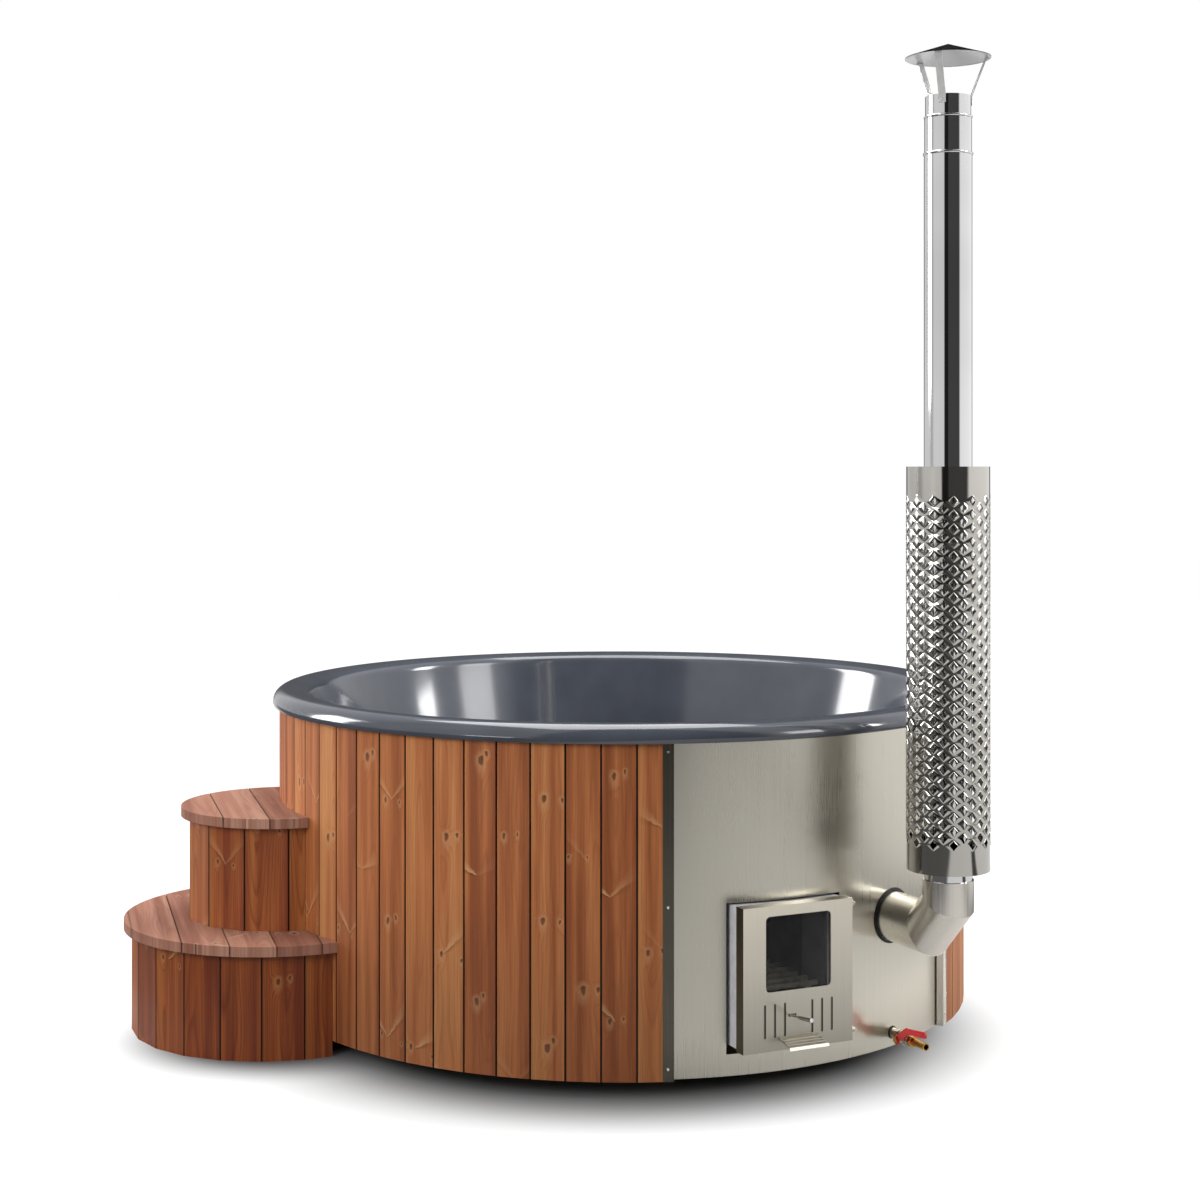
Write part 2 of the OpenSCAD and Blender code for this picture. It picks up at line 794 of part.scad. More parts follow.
module hinge_leaves() {
    color(brushed)
    for (z = hinge_heights)
        translate([0, 0, z - lug_t - seat])
            difference() {
                union() {
                    block([stove_x + door_w / 2, hinge_y - 8, 0], [hinge_x, hinge_y + 7, lug_t]);
                    translate([hinge_x, hinge_y, 0]) cylinder(r = 8, h = lug_t);
                }
                translate([hinge_x, hinge_y, -e]) cylinder(d = hinge_d + 2 * run, h = lug_t + 2 * e);
            }
}

module hinge_pins() {
    color(polished)
    for (z = hinge_heights)
        translate([hinge_x, hinge_y, z - lug_t - seat - 2])
            union() {
                cylinder(d = hinge_d, h = 2 * lug_t + 2 * seat + 2);
                translate([0, 0, 2 * lug_t + 2 * seat + 2]) cylinder(d = hinge_d + 5, h = 2.5);
            }
}

// ---------- chimney ----------

module flue_stub() {
    start = side_y - 6;
    color(brushed)
    union() {
        forward(flue_x, start, outlet_z) tube(elbow_d / 2, spigot_d / 2 + seat, start - stub_y);
        // Narrow end that the elbow slips over
        forward(flue_x, stub_y + 20, outlet_z) tube(spigot_d / 2 + seat + 0.2, spigot_d / 2 - 1, 20);
        forward(flue_x, stub_y, outlet_z) tube(elbow_d / 2 - flue_t - seat, spigot_d / 2 - 1, elbow_grip - 1);
    }
}

module flue_seal() {
    color("#151515")
    intersection() {
        forward(flue_x, -board_in / 2, outlet_z)
            tube(elbow_d / 2 + seal_gap - seat, elbow_d / 2 + seat, board_in);
        tube(front_out + 1.5, front_in - 6, rim_z, $fn = 180);
    }
}

// Everything behind a plane that leans from the vertical, seen along the flue's run
module behind_mitre(y, z, lean) {
    big = 800;
    translate([0, y, z]) rotate([-lean, 0, 0]) translate([-big / 2, 0, -big / 2]) cube(big);
}

// The elbow's run: level, a 45 degree piece, then upright, cut on its two mitre planes.
// The middle piece is a hair narrower, which leaves a fine seam at both mitres.
module mitred_run(r, spare) {
    seam = 0.1;
    corner = outlet_z + mitre;
    length = 3 * elbow_d;
    union() {
        intersection() {
            forward(0, stub_y - flue_y + spare, outlet_z) cylinder(r = r, h = length);
            behind_mitre(mitre, outlet_z, 22.5);
        }
        difference() {
            intersection() {
                translate([0, mitre / 2, outlet_z + mitre / 2]) rotate([45, 0, 0])
                    cylinder(r = r - seam, h = length, center = true);
                behind_mitre(0, corner, 67.5);
            }
            behind_mitre(mitre, outlet_z, 22.5);
        }
        difference() {
            translate([0, 0, outlet_z - r]) cylinder(r = r, h = elbow_top - outlet_z + r + spare);
            behind_mitre(0, corner, 67.5);
        }
    }
}

module flue_elbow() {
    color(brushed)
    translate([flue_x, flue_y, 0])
        difference() {
            mitred_run(elbow_d / 2, 0);
            difference() {
                mitred_run(elbow_d / 2 - flue_t, e);
                // Rim that narrows the top end to the chimney pipe
                translate([0, 0, elbow_top - 2]) tube(elbow_d, pipe_d / 2 + seat, 10);
            }
        }
}

pipe_drop = 40;
module flue_pipe_lower() {
    color(polished)
    translate([flue_x, flue_y, pipe_foot]) tube(pipe_d / 2, pipe_d / 2 - flue_t, pipe_joint_z - pipe_foot);
}

module flue_pipe_upper() {
    color(polished)
    translate([flue_x, flue_y, 0])
        union() {
            translate([0, 0, pipe_joint_z + seat]) tube(pipe_d / 2, pipe_d / 2 - 2.5 * flue_t, 12);
            translate([0, 0, pipe_joint_z + seat]) tube(pipe_d / 2, pipe_d / 2 - flue_t, pipe_top - pipe_joint_z - seat);
            translate([0, 0, pipe_joint_z - pipe_drop])
                tube(pipe_d / 2 - flue_t - seat, pipe_d / 2 - 2.5 * flue_t, pipe_drop + seat + 1);
        }
}

// A pipe end with a spigot below, a rolled bead and a plain wall above
module beaded(r, r_below, drop, h) {
    bead = 3;
    rotate_extrude()
        polygon(concat(
            [[r - 1.6 * flue_t - seat, h], [r - 2.6 * flue_t, -drop], [r_below, -drop], [r_below, seat]],
            ellipse_arc(r + 0.5, 3.5 + seat, bead, 3.5, -90, 90, 8),
            [[r, 7 + seat], [r, h]]));
}

module flue_adapter() {
    color(polished)
    translate([flue_x, flue_y, pipe_top]) beaded(pipe_d / 2 - 1, pipe_d / 2 - flue_t - seat, pipe_drop, adapter_h);
}

module cap_collar() {
    color(polished)
    translate([flue_x, flue_y, adapter_top])
        beaded(pipe_d / 2 - 3, pipe_d / 2 - 1 - 1.6 * flue_t - 2 * seat - 0.2, 30, collar_h);
}

strap_t = 1.5;
strap_in = pipe_d / 2 - 3;
strap_out = cone_d / 2 - 9;
strap_low = cap_top - 22;
strap_high = brim_z + (cone_d / 2 - strap_out) / (cone_d / 2) * cone_h - 1.4;
strap_turns = [for (i = [0 : 2]) strap_turn + 120 * i];
module cap_straps() {
    run_out = strap_out - strap_in;
    color(polished)
    translate([flue_x, flue_y, 0])
        for (a = strap_turns)
            rotate([0, 0, a]) rotate([90, 0, -90])
                translate([0, 0, -strap_w / 2])
                    linear_extrude(height = strap_w)
                        polygon([[strap_in + seat, strap_low], [strap_in + seat + strap_t, strap_low],
                                 [strap_in + seat + strap_t, cap_top], [strap_out, strap_high - 1],
                                 [strap_out + 5, strap_high - 2.8], [strap_out + 5, strap_high - 1.4],
                                 [strap_out - strap_t, strap_high + 0.2], [strap_in + seat, cap_top + 1]]);
}

module cap_cone() {
    cone_t = 1;
    color(dark)
    translate([flue_x, flue_y, 0])
        rotate_extrude()
            polygon([[0, brim_z + cone_h], [cone_d / 2, brim_z], [cone_d / 2, brim_z - 1.5],
                     [cone_d / 2 - 1, brim_z - 1.5], [cone_d / 2 - 1.4, brim_z - cone_t + 0.4],
                     [0, brim_z + cone_h - cone_t]]);
}

module cap_rivets() {
    color(polished)
    translate([flue_x, flue_y, 0])
        for (a = strap_turns) rotate([0, 0, a])
            forward(0, -strap_in - 2 * seat - strap_t, strap_low + 9)
                cylinder(r1 = 3, r2 = 2, h = 1.5);
}

module heat_guard() {
    color(polished)
    translate([flue_x, flue_y, guard_z]) tube(guard_r, guard_r - flue_t, guard_h);
}

module guard_brackets() {
    band_h = 30;
    color(polished)
    translate([flue_x, flue_y, 0])
        for (z = [guard_z + 4, guard_z + guard_h - 12 - band_h])
            translate([0, 0, z])
                union() {
                    tube(pipe_d / 2 + seat + 1.5, pipe_d / 2 + seat, band_h);
                    for (a = [15, 135, 255]) rotate([0, 0, a])
                        intersection() {
                            union() {
                                block([-1, -guard_r, 0], [1, -pipe_d / 2 - seat - 1, band_h]);
                                block([-10, -guard_r, 0], [10, -guard_r + 6, band_h]);
                            }
                            tube(guard_r - flue_t - seat, pipe_d / 2 + seat + 0.5, band_h);
                        }
                }
}

// ---------- drain ----------

strainer_d = 40;
strainer_flange = 76;
grommet_t = 2.6;
module drain_strainer() {
    sleeve_z = drain_z + drain_d / 2 + seat;
    color(polished)
    translate([flue_x, drain_y, 0])
        difference() {
            union() {
                translate([0, 0, floor_z + seat]) cylinder(r1 = strainer_flange / 2, r2 = strainer_flange / 2 - 2, h = 3);
                translate([0, 0, sleeve_z]) cylinder(d = strainer_d, h = floor_z + e - sleeve_z);
            }
            translate([0, 0, sleeve_z - e]) cylinder(d = strainer_d - 5, h = floor_z + 1.3 - sleeve_z);
            for (i = [0 : 7]) rotate([0, 0, 45 * i]) translate([11, 0, 0]) cylinder(r = 2.6, h = floor_z + 10, $fn = 24);
        }
}

module drain_fitting() {
    foot = drain_z - drain_d / 2 - 3.5;
    color("#e8e8e4")
    difference() {
        translate([flue_x, drain_y, foot]) cylinder(d = strainer_d + 12, h = floor_under - seat - foot);
        translate([flue_x, drain_y, foot + 2]) cylinder(d = strainer_d + 2 * seat, h = 60);
        forward(flue_x, drain_y, drain_z) cylinder(d = drain_d + 2 * seat, h = 60);
    }
}

module drain_pipe() {
    start = drain_y - 12;
    color("#b8b4aa")
    forward(flue_x, start, drain_z) tube(drain_d / 2, drain_bore / 2, start - body_start + 12);
}

module pipe_grommet() {
    color("#151515")
    intersection() {
        forward(flue_x, -board_in / 2, drain_z)
            tube(drain_d / 2 + grommet_t, drain_d / 2 + seat / 2, board_in);
        tube(front_out + 1.2, front_in - 5, rim_z, $fn = 180);
    }
}

module valve_body() {
    neck = drain_d / 2 + 3;
    color("#b9b2a2")
    difference() {
        union() {
            forward(flue_x, body_start, drain_z) cylinder(r = neck + 2, h = 15, $fn = 8);
            forward(flue_x, body_start, drain_z) cylinder(r = neck - 1, h = body_start - body_end);
            translate([flue_x, ball_y, drain_z]) sphere(r = body_r);
            forward(flue_x, body_end + 12, drain_z) cylinder(r = neck + 1, h = 12, $fn = 6);
            translate([flue_x, ball_y, drain_z]) rotate([0, -90, 0]) cylinder(r = 9, h = bonnet);
        }
        // Socket for the pipe, ball chamber and socket for the hose tail
        forward(flue_x, body_start + e, drain_z) cylinder(d = drain_d + 2 * seat, h = 13.5 + e);
        forward(flue_x, body_start, drain_z) cylinder(d = ball_bore, h = 80);
        forward(flue_x, ball_y + ball_d / 2 + 2, drain_z) cylinder(r = ball_d / 2 + 1, h = ball_d + 4);
        forward(flue_x, tail_start + seat, drain_z) cylinder(d = tail_d + 2 * seat, h = 40);
        translate([flue_x, ball_y, drain_z]) rotate([0, -90, 0]) cylinder(d = stem_d + 2 * run, h = 60);
    }
}

module valve_seats() {
    color("white")
    for (s = [-1, 1])
        difference() {
            translate([flue_x, ball_y + s * (ball_d / 2 + 2 - 0.1 - 2.5), drain_z]) rotate([90, 0, 0])
                translate([0, 0, -2.5]) cylinder(r = ball_d / 2 + 0.9, h = 5);
            forward(flue_x, ball_y + 60, drain_z) cylinder(d = ball_bore, h = 120);
            translate([flue_x, ball_y, drain_z]) sphere(r = ball_d / 2 + seat);
        }
}

flat_x = ball_d / 2 - 2;
module valve_ball() {
    color("#cfd0d2")
    difference() {
        // Its poles lie in the bore
        forward(flue_x, ball_y, drain_z) difference() {
            sphere(r = ball_d / 2);
            cylinder(d = ball_bore, h = 80, center = true);
        }
        block([flue_x - ball_d, ball_y - ball_d, drain_z - ball_d], [flue_x - flat_x, ball_y + ball_d, drain_z + ball_d]);
    }
}

module valve_stem() {
    nut_h = 5;
    color("#b08d4f")
    translate([flue_x - flat_x, ball_y, drain_z]) rotate([0, -90, 0])
        union() {
            cylinder(d = stem_d, h = flue_x - flat_x - lever_x + 2);
            // Nut that holds the lever on the stem
            translate([0, 0, flue_x - flat_x - lever_x + seat]) cylinder(r = 8, h = nut_h, $fn = 6);
        }
}

// Flat bar between two points
module bar_between(a, b, w) {
    d = b - a;
    translate(a) rotate([0, 0, atan2(d[1], d[0])]) translate([0, -w / 2]) square([norm(d), w]);
}

// Flat lever: a round eye on the stem, a cranked plate and a long grip that points outwards
module lever_outline() {
    crank = [-46, 32];
    tip_rise = crank[1] + 10;
    tip = [-sqrt(pow(lever_len, 2) - pow(tip_rise, 2)), tip_rise];
    union() {
        circle(r = 13, $fn = 48);
        bar_between([0, 0], crank, 18);
        translate(crank) circle(r = 9, $fn = 48);
        bar_between(crank, tip, 16);
        translate(tip) circle(r = 8, $fn = 48);
    }
}
module valve_lever() {
    color("#c8202c")
    difference() {
        translate([lever_x, ball_y, drain_z]) rotate([90, 0, 90]) linear_extrude(height = lever_t) lever_outline();
        translate([flue_x, ball_y, drain_z]) rotate([0, -90, 0]) cylinder(d = stem_d + 2 * run, h = 60);
    }
}

module hose_tail() {
    color("#b8904a")
    forward(flue_x, tail_start, drain_z)
        difference() {
            union() {
                cylinder(d = tail_d, h = tail_start - tail_end);
                translate([0, 0, tail_start - body_end + seat]) cylinder(r = tail_d / 2 + 5, h = 12, $fn = 6);
            }
            translate([0, 0, -e]) cylinder(d = tail_bore, h = 200);
        }
}

// ---------- steps ----------

module step_place() {
    rotate([0, 0, step_turn]) children();
}

// Half-round plan of a step, hollowed to the tub's curve
module step_plan(r) {
    difference() {
        translate([0, -clad_r]) circle(r = r, $fn = 128);
        circle(r = step_in, $fn = 180);
    }
}

// Tread boards run along the tub; the outermost one runs on to the step's edge
first = 65;
function board_y1(i) = -clad_r - first - i * tread_pitch - tread_joint / 2;
function board_y0(r, i, last) = i == last ? -clad_r - r : board_y1(i) + tread_joint - tread_pitch;
module tread(r, top) {
    last = round((r - first) / tread_pitch) - 1;
    color(tread_wood)
    step_place()
        for (i = [-2 : last])
            translate([0, 0, top - tread_t])
                linear_extrude(height = tread_t)
                    intersection() {
                        step_plan(r);
                        translate([-r, board_y0(r, i, last)])
                            square([2 * r, board_y1(i) - board_y0(r, i, last)]);
                    }
}

// Upright boards round a step, flat, with joints at a given pitch and phase
module step_boards(r, z0, z1, pitch, phase) {
    joint = 2;
    w = r * tan(pitch / 2) - joint / 2;
    w_in = (r - board_t) * tan(pitch / 2) - joint / 2;
    // Where the round of boards meets the tub
    reach = 180 - acos(r / 2 / clad_r) - 1;
    color(step_wood)
    step_place()
        difference() {
            translate([0, -clad_r, z0])
                for (i = [-ceil(reach / pitch) - 1 : ceil(reach / pitch) + 1]) {
                    a = phase + (i + 0.5) * pitch;
                    if (abs(a) - pitch / 2 < reach)
                        rotate([0, 0, a]) linear_extrude(height = z1 - z0)
                            polygon([[-w, -r], [w, -r], [w_in, -r + board_t], [-w_in, -r + board_t]]);
                }
            translate([0, 0, -e]) cylinder(r = step_in, h = rim_z, $fn = 180);
        }
}

module step_frame(r, z0, z1) {
    plate = 18;
    leg = 45;
    inner = r - board_t - 2 * seat;
    color(ply)
    step_place()
        union() {
            for (z = [z0, z1 - plate]) translate([0, 0, z]) linear_extrude(height = plate) step_plan(inner);
            for (a = [-62, 0, 62])
                translate([0, -clad_r, 0]) rotate([0, 0, a])
                    block([-leg / 2, -inner + 2, z0 + plate + seat / 2],
                          [leg / 2, -inner + 2 + leg, z1 - plate - seat / 2]);
        }
}

low_body = low_r - overhang;
up_body = up_r - overhang;
module step_lower_boards() { step_boards(low_body, 0, low_z - tread_t, low_pitch, -1.8); }
module step_lower_frame() { step_frame(low_body, 0, low_z - tread_t); }
module step_lower_tread() { tread(low_r, low_z); }
module step_upper_boards() { step_boards(up_body, low_z, up_z - tread_t, up_pitch, 7.3); }
module step_upper_frame() { step_frame(up_body, low_z, up_z - tread_t); }
module step_upper_tread() { tread(up_r, up_z); }

base_joists();
bottom_hoop();
middle_hoop();
top_hoop();
wall_posts();
tub_liner();
cladding(1);  // cladding_1
cladding(2);  // cladding_2
cladding(3);  // cladding_3
cladding(4);  // cladding_4
front_panel();
panel_trims();
trim_screws();
stove_jacket();
firebox();
stove_collar();
fire_grate();
water_ports();
door_pan();
door_glass();
glass_frame();
glass_screws();
door_seal();
air_slide();
slide_guides();
air_rod();
air_grip();
door_pull();
hinge_lugs();
hinge_leaves();
hinge_pins();
flue_stub();
flue_seal();
flue_elbow();
flue_pipe_lower();
flue_pipe_upper();
flue_adapter();
cap_collar();
cap_straps();
cap_cone();
cap_rivets();
heat_guard();
guard_brackets();
drain_strainer();
drain_fitting();
drain_pipe();
pipe_grommet();
valve_body();
valve_seats();
valve_ball();
valve_stem();
valve_lever();
hose_tail();
step_lower_boards();
step_lower_frame();
step_lower_tread();
step_upper_boards();
step_upper_frame();
step_upper_tread();
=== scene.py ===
# %% [markdown]
# # A wood-fired hot tub
# The tub has a moulded liner in a ring of upright thermowood boards. A stove sits behind a curved
# brushed front and its smoke leaves through a polished chimney. The solids come from the frame at
# their real size, so this script gives them their finishes and adds what repeats too often to be
# worth a solid, such as the holes of the chimney guard.

import math

import bmesh
import bpy
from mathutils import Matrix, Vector


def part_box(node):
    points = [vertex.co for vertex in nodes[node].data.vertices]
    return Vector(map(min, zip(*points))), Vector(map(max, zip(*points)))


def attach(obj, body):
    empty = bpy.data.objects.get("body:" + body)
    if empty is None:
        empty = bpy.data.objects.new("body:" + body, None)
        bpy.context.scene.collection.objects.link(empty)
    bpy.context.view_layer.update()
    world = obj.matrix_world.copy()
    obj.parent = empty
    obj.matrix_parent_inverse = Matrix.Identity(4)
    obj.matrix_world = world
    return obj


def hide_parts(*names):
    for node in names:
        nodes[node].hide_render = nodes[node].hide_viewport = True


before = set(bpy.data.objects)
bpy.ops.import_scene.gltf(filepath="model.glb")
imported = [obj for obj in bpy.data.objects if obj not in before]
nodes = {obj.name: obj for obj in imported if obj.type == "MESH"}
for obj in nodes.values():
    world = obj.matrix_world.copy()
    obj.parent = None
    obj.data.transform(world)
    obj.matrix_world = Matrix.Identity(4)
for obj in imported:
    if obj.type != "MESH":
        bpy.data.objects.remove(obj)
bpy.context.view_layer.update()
mm = 0.001


# %% [markdown]
# Every material is a small tree of nodes. One function adds a node with its settings and inputs,
# where an input is a plain value, a socket or another node. Colours are written the way a paint
# program shows them and are turned into the linear values that shaders need.

# %% Helpers for node trees
def srgb(code, alpha=1.0):
    """An sRGB hex colour as linear red, green, blue and alpha."""
    parts = [int(code[i:i + 2], 16) / 255 for i in (1, 3, 5)]
    return [c / 12.92 if c <= 0.04045 else ((c + 0.055) / 1.055) ** 2.4 for c in parts] + [alpha]


def connect(tree, node, inputs):
    """Sets a node's inputs. A value is plain, a socket, or a node, which stands for its first
    output in use."""
    for key, value in inputs.items():
        if isinstance(value, bpy.types.Node):
            value = next(out for out in value.outputs if out.enabled)
        if isinstance(value, bpy.types.NodeSocket):
            tree.links.new(value, node.inputs[key])
        else:
            node.inputs[key].default_value = value


def add(tree, kind, inputs=None, stops=(), **settings):
    """One node with its settings and inputs; stops are a colour ramp's places and colours."""
    node = tree.nodes.new(kind)
    for name, value in settings.items():
        setattr(node, name, value)
    connect(tree, node, inputs or {})
    for at, (position, colour) in enumerate(stops):
        elements = node.color_ramp.elements
        if at == len(elements):
            elements.new(1.0)
        elements[at].position = position
        elements[at].color = colour if isinstance(colour, (list, tuple)) else (*[colour] * 3, 1)
    return node


def finish(name, **inputs):
    """A new material with one Principled shader; returns the material, its tree and the shader."""
    material = bpy.data.materials.new(name)
    material.use_nodes = True
    tree = material.node_tree
    tree.nodes.clear()
    keys = {key.replace("_", " "): value for key, value in inputs.items()}
    shader = add(tree, "ShaderNodeBsdfPrincipled", keys)
    add(tree, "ShaderNodeOutputMaterial", {"Surface": shader})
    return material, tree, shader


def reopen(material):
    """A finished material's tree and shader, and the socket that gives its colour."""
    tree = material.node_tree
    shader = tree.nodes["Principled BSDF"]
    return tree, shader, shader.inputs["Base Color"].links[0].from_socket


def stretched_noise(tree, point, scale, detail):
    """Noise with its own fineness along X, Y and Z."""
    scaled = add(tree, "ShaderNodeVectorMath", {0: point, 1: scale}, operation="MULTIPLY")
    return add(tree, "ShaderNodeTexNoise", {"Vector": scaled, "Scale": 1.0, "Detail": detail})


# %% [markdown]
# ## Where each board is
# A board's grain must not run on into its neighbour. The boards are placed by a rule, so a material
# can work out from a point's position which board it is on, how far across it and how far along it.
# The cladding and the step bodies are rings of boards, and the treads are straight rows.

# %% Boards from a position
tub_radius = 980 * mm
board_count = 60
front_start = math.radians(-18.6)
front_end = math.radians(35)
step_turn = math.radians(-99.5)
step_centre = tub_radius * Vector((math.sin(step_turn), -math.cos(step_turn), 0))


def board_and_place(tree, distance, pitch, width):
    """Board number and place across the board, from the distance along a row of boards; pitch is
    in the distance's unit and width in metres."""
    count = add(tree, "ShaderNodeMath", {0: distance, 1: pitch}, operation="DIVIDE")
    number = add(tree, "ShaderNodeMath", {0: count}, operation="FLOOR")
    across = add(tree, "ShaderNodeMath", {0: count}, operation="FRACT")
    across = add(tree, "ShaderNodeMath", {0: across, 1: 0.5}, operation="SUBTRACT")
    across = add(tree, "ShaderNodeMath", {0: across, 1: width}, operation="MULTIPLY")
    return number, across


def ring_boards(tree, centre, start, pitch, radius):
    """Board number, place across and along, and half a board's width, for boards that stand round
    a centre."""
    point = add(tree, "ShaderNodeTexCoord").outputs["Object"]
    place = add(tree, "ShaderNodeVectorMath", {0: point, 1: centre}, operation="SUBTRACT")
    part = add(tree, "ShaderNodeSeparateXYZ", {0: place})
    forward = add(tree, "ShaderNodeMath", {0: part.outputs["Y"], 1: -1.0}, operation="MULTIPLY")
    angle = add(tree, "ShaderNodeMath", {0: part.outputs["X"], 1: forward}, operation="ARCTAN2")
    turned = add(tree, "ShaderNodeMath", {0: angle, 1: start}, operation="SUBTRACT")
    turned = add(tree, "ShaderNodeMath", {0: turned, 1: math.tau}, operation="FLOORED_MODULO")
    number, across = board_and_place(tree, turned, pitch, pitch * radius)
    return number, across, part.outputs["Z"], pitch * radius / 2


def row_boards(tree, turn, first, pitch):
    """The same four values for straight boards that lie side by side, away from the tub."""
    point = add(tree, "ShaderNodeTexCoord").outputs["Object"]
    place = add(tree, "ShaderNodeVectorRotate", {"Vector": point, "Angle": -turn},
                rotation_type="Z_AXIS")
    part = add(tree, "ShaderNodeSeparateXYZ", {0: place})
    out = add(tree, "ShaderNodeMath", {0: part.outputs["Y"], 1: -1.0}, operation="MULTIPLY")
    # The count starts ten boards before the first, so that no number is below zero
    out = add(tree, "ShaderNodeMath", {0: out, 1: first - 10 * pitch}, operation="SUBTRACT")
    number, across = board_and_place(tree, out, pitch, pitch)
    return number, across, part.outputs["X"], pitch / 2


# %% [markdown]
# ## Thermowood
# The boards are heat-treated pine, planed and oiled. Three things give this wood its look. Soft
# streaks of yellower and redder brown run along each board. The yearly rings show as long arches,
# because a flat-sawn board cuts them at a shallow angle: here the distance to the tree's heart makes
# them. The branches of a pine grow in whorls, so knots come in small groups at one height. A saw cuts
# some of them across, which leaves a round knot, and some along, which leaves a slanting pale streak.

# %% Knots
stretch = 300 * mm
no_knot = 99.0


def whorls(tree, number, across, along, offset, knots):
    """One group of knots in each stretch of a board, or none; knots is the share of stretches that
    have one. Returns how far away the nearest round knot is, in its own widths, and how much pale
    and dark wood the slanting streaks add."""
    count = add(tree, "ShaderNodeMath", {0: along, 1: stretch}, operation="DIVIDE")
    count = add(tree, "ShaderNodeMath", {0: count, 1: offset}, operation="ADD")
    cell = add(tree, "ShaderNodeMath", {0: count}, operation="FLOOR")
    inside = add(tree, "ShaderNodeMath", {0: count}, operation="FRACT")
    up = add(tree, "ShaderNodeMath", {0: inside, 1: 0.5}, operation="SUBTRACT")
    up = add(tree, "ShaderNodeMath", {0: up, 1: stretch}, operation="MULTIPLY")

    # Uneven edges, and the dice of this group: one for each kind of chance
    spot = add(tree, "ShaderNodeCombineXYZ", {"X": across, "Y": number, "Z": along})
    ragged = add(tree, "ShaderNodeTexNoise", {"Vector": spot, "Scale": 70.0, "Detail": 3.0})
    ragged = add(tree, "ShaderNodeVectorMath", {0: ragged.outputs["Color"], 1: (0.5, 0.5, 0.5)},
                 operation="SUBTRACT")
    ragged = add(tree, "ShaderNodeVectorMath", {0: ragged, "Scale": 10 * mm}, operation="SCALE")
    here = add(tree, "ShaderNodeCombineXYZ", {"X": across, "Y": up})
    here = add(tree, "ShaderNodeVectorMath", {0: here, 1: ragged}, operation="ADD")
    label = add(tree, "ShaderNodeCombineXYZ", {"X": number, "Y": cell})
    first = add(tree, "ShaderNodeTexWhiteNoise", {"Vector": label}, noise_dimensions="2D")
    luck = add(tree, "ShaderNodeSeparateColor", {0: first.outputs["Color"]}).outputs
    label = add(tree, "ShaderNodeVectorMath", {0: label, 1: (7.3, 3.1, 0)}, operation="ADD")
    second = add(tree, "ShaderNodeTexWhiteNoise", {"Vector": label}, noise_dimensions="2D")
    more = add(tree, "ShaderNodeSeparateColor", {0: second.outputs["Color"]}).outputs

    # Two round knots beside each other, the second one smaller
    nearest = None
    for at, low, high, width in ((luck[0], -38, 4, 7.0), (more[0], 6, 40, 4.5)):
        x = add(tree, "ShaderNodeMapRange", {"Value": at, "To Min": low * mm, "To Max": high * mm})
        y = add(tree, "ShaderNodeMapRange", {"Value": at, "To Min": 12 * mm, "To Max": -12 * mm})
        centre = add(tree, "ShaderNodeCombineXYZ", {"X": x, "Y": y})
        gap = add(tree, "ShaderNodeVectorMath", {0: here, 1: centre}, operation="SUBTRACT")
        # Drawn out downwards, where the branch pulled the wood along
        below = add(tree, "ShaderNodeVectorMath", {0: gap}, operation="ABSOLUTE")
        gap = add(tree, "ShaderNodeVectorMath", {0: gap, 1: (1.0, 0.7, 0)}, operation="MULTIPLY")
        gap = add(tree, "ShaderNodeVectorMath", {0: below, 1: (0, 0.3, 0), 2: gap},
                  operation="MULTIPLY_ADD")
        gap = add(tree, "ShaderNodeVectorMath", {0: gap}, operation="LENGTH").outputs["Value"]
        size = add(tree, "ShaderNodeMapRange", {"Value": first.outputs["Value"],
                                               "To Min": 0.4 * width * mm, "To Max": width * mm})
        gap = add(tree, "ShaderNodeMath", {0: gap, 1: size}, operation="DIVIDE")
        nearest = gap if nearest is None else add(tree, "ShaderNodeMath", {0: nearest, 1: gap},
                                                  operation="MINIMUM")
    none = add(tree, "ShaderNodeMath", {0: luck[2], 1: knots}, operation="GREATER_THAN")
    nearest = add(tree, "ShaderNodeMath", {0: none, 1: no_knot, 2: nearest},
                  operation="MULTIPLY_ADD")

    # A slanting streak to each side, with its own slope and strength; it widens outwards
    part = add(tree, "ShaderNodeSeparateXYZ", {0: here})
    middle = add(tree, "ShaderNodeMapRange",
                 {"Value": more[1], "To Min": -26 * mm, "To Max": 26 * mm})
    side = add(tree, "ShaderNodeMath", {0: part.outputs["X"], 1: middle}, operation="SUBTRACT")
    right = add(tree, "ShaderNodeMath", {0: side, 1: 0.0}, operation="GREATER_THAN")
    spread = add(tree, "ShaderNodeMath", {0: side}, operation="ABSOLUTE")
    slope = add(tree, "ShaderNodeMapRange", {"Value": more[2], "To Min": 0.35, "To Max": 1.3})
    rise = add(tree, "ShaderNodeMath", {0: spread, 1: slope}, operation="MULTIPLY")
    rise = add(tree, "ShaderNodeMath", {0: part.outputs["Y"], 1: rise}, operation="SUBTRACT")
    thick = add(tree, "ShaderNodeMath", {0: spread, 1: 0.22, 2: 1.6 * mm}, operation="MULTIPLY_ADD")
    rise = add(tree, "ShaderNodeMath", {0: rise, 1: thick}, operation="DIVIDE")
    fade = add(tree, "ShaderNodeMapRange", {"Value": spread, "From Min": 14 * mm,
                                            "From Max": 60 * mm, "To Min": 1.0, "To Max": 0.1})
    strength = add(tree, "ShaderNodeMix", {0: right, 2: luck[1], 3: more[0]})
    strength = add(tree, "ShaderNodeMapRange",
                   {"Value": strength, "From Min": 0.3, "From Max": 0.8})
    strength = add(tree, "ShaderNodeMath", {0: strength, 1: fade}, operation="MULTIPLY")
    streaked = add(tree, "ShaderNodeMath", {0: luck[0], 1: 0.55}, operation="LESS_THAN")
    strength = add(tree, "ShaderNodeMath", {0: strength, 1: streaked}, operation="MULTIPLY")
    bands = add(tree, "ShaderNodeMapRange", {"Value": rise, "From Min": -3.0, "From Max": 3.0})
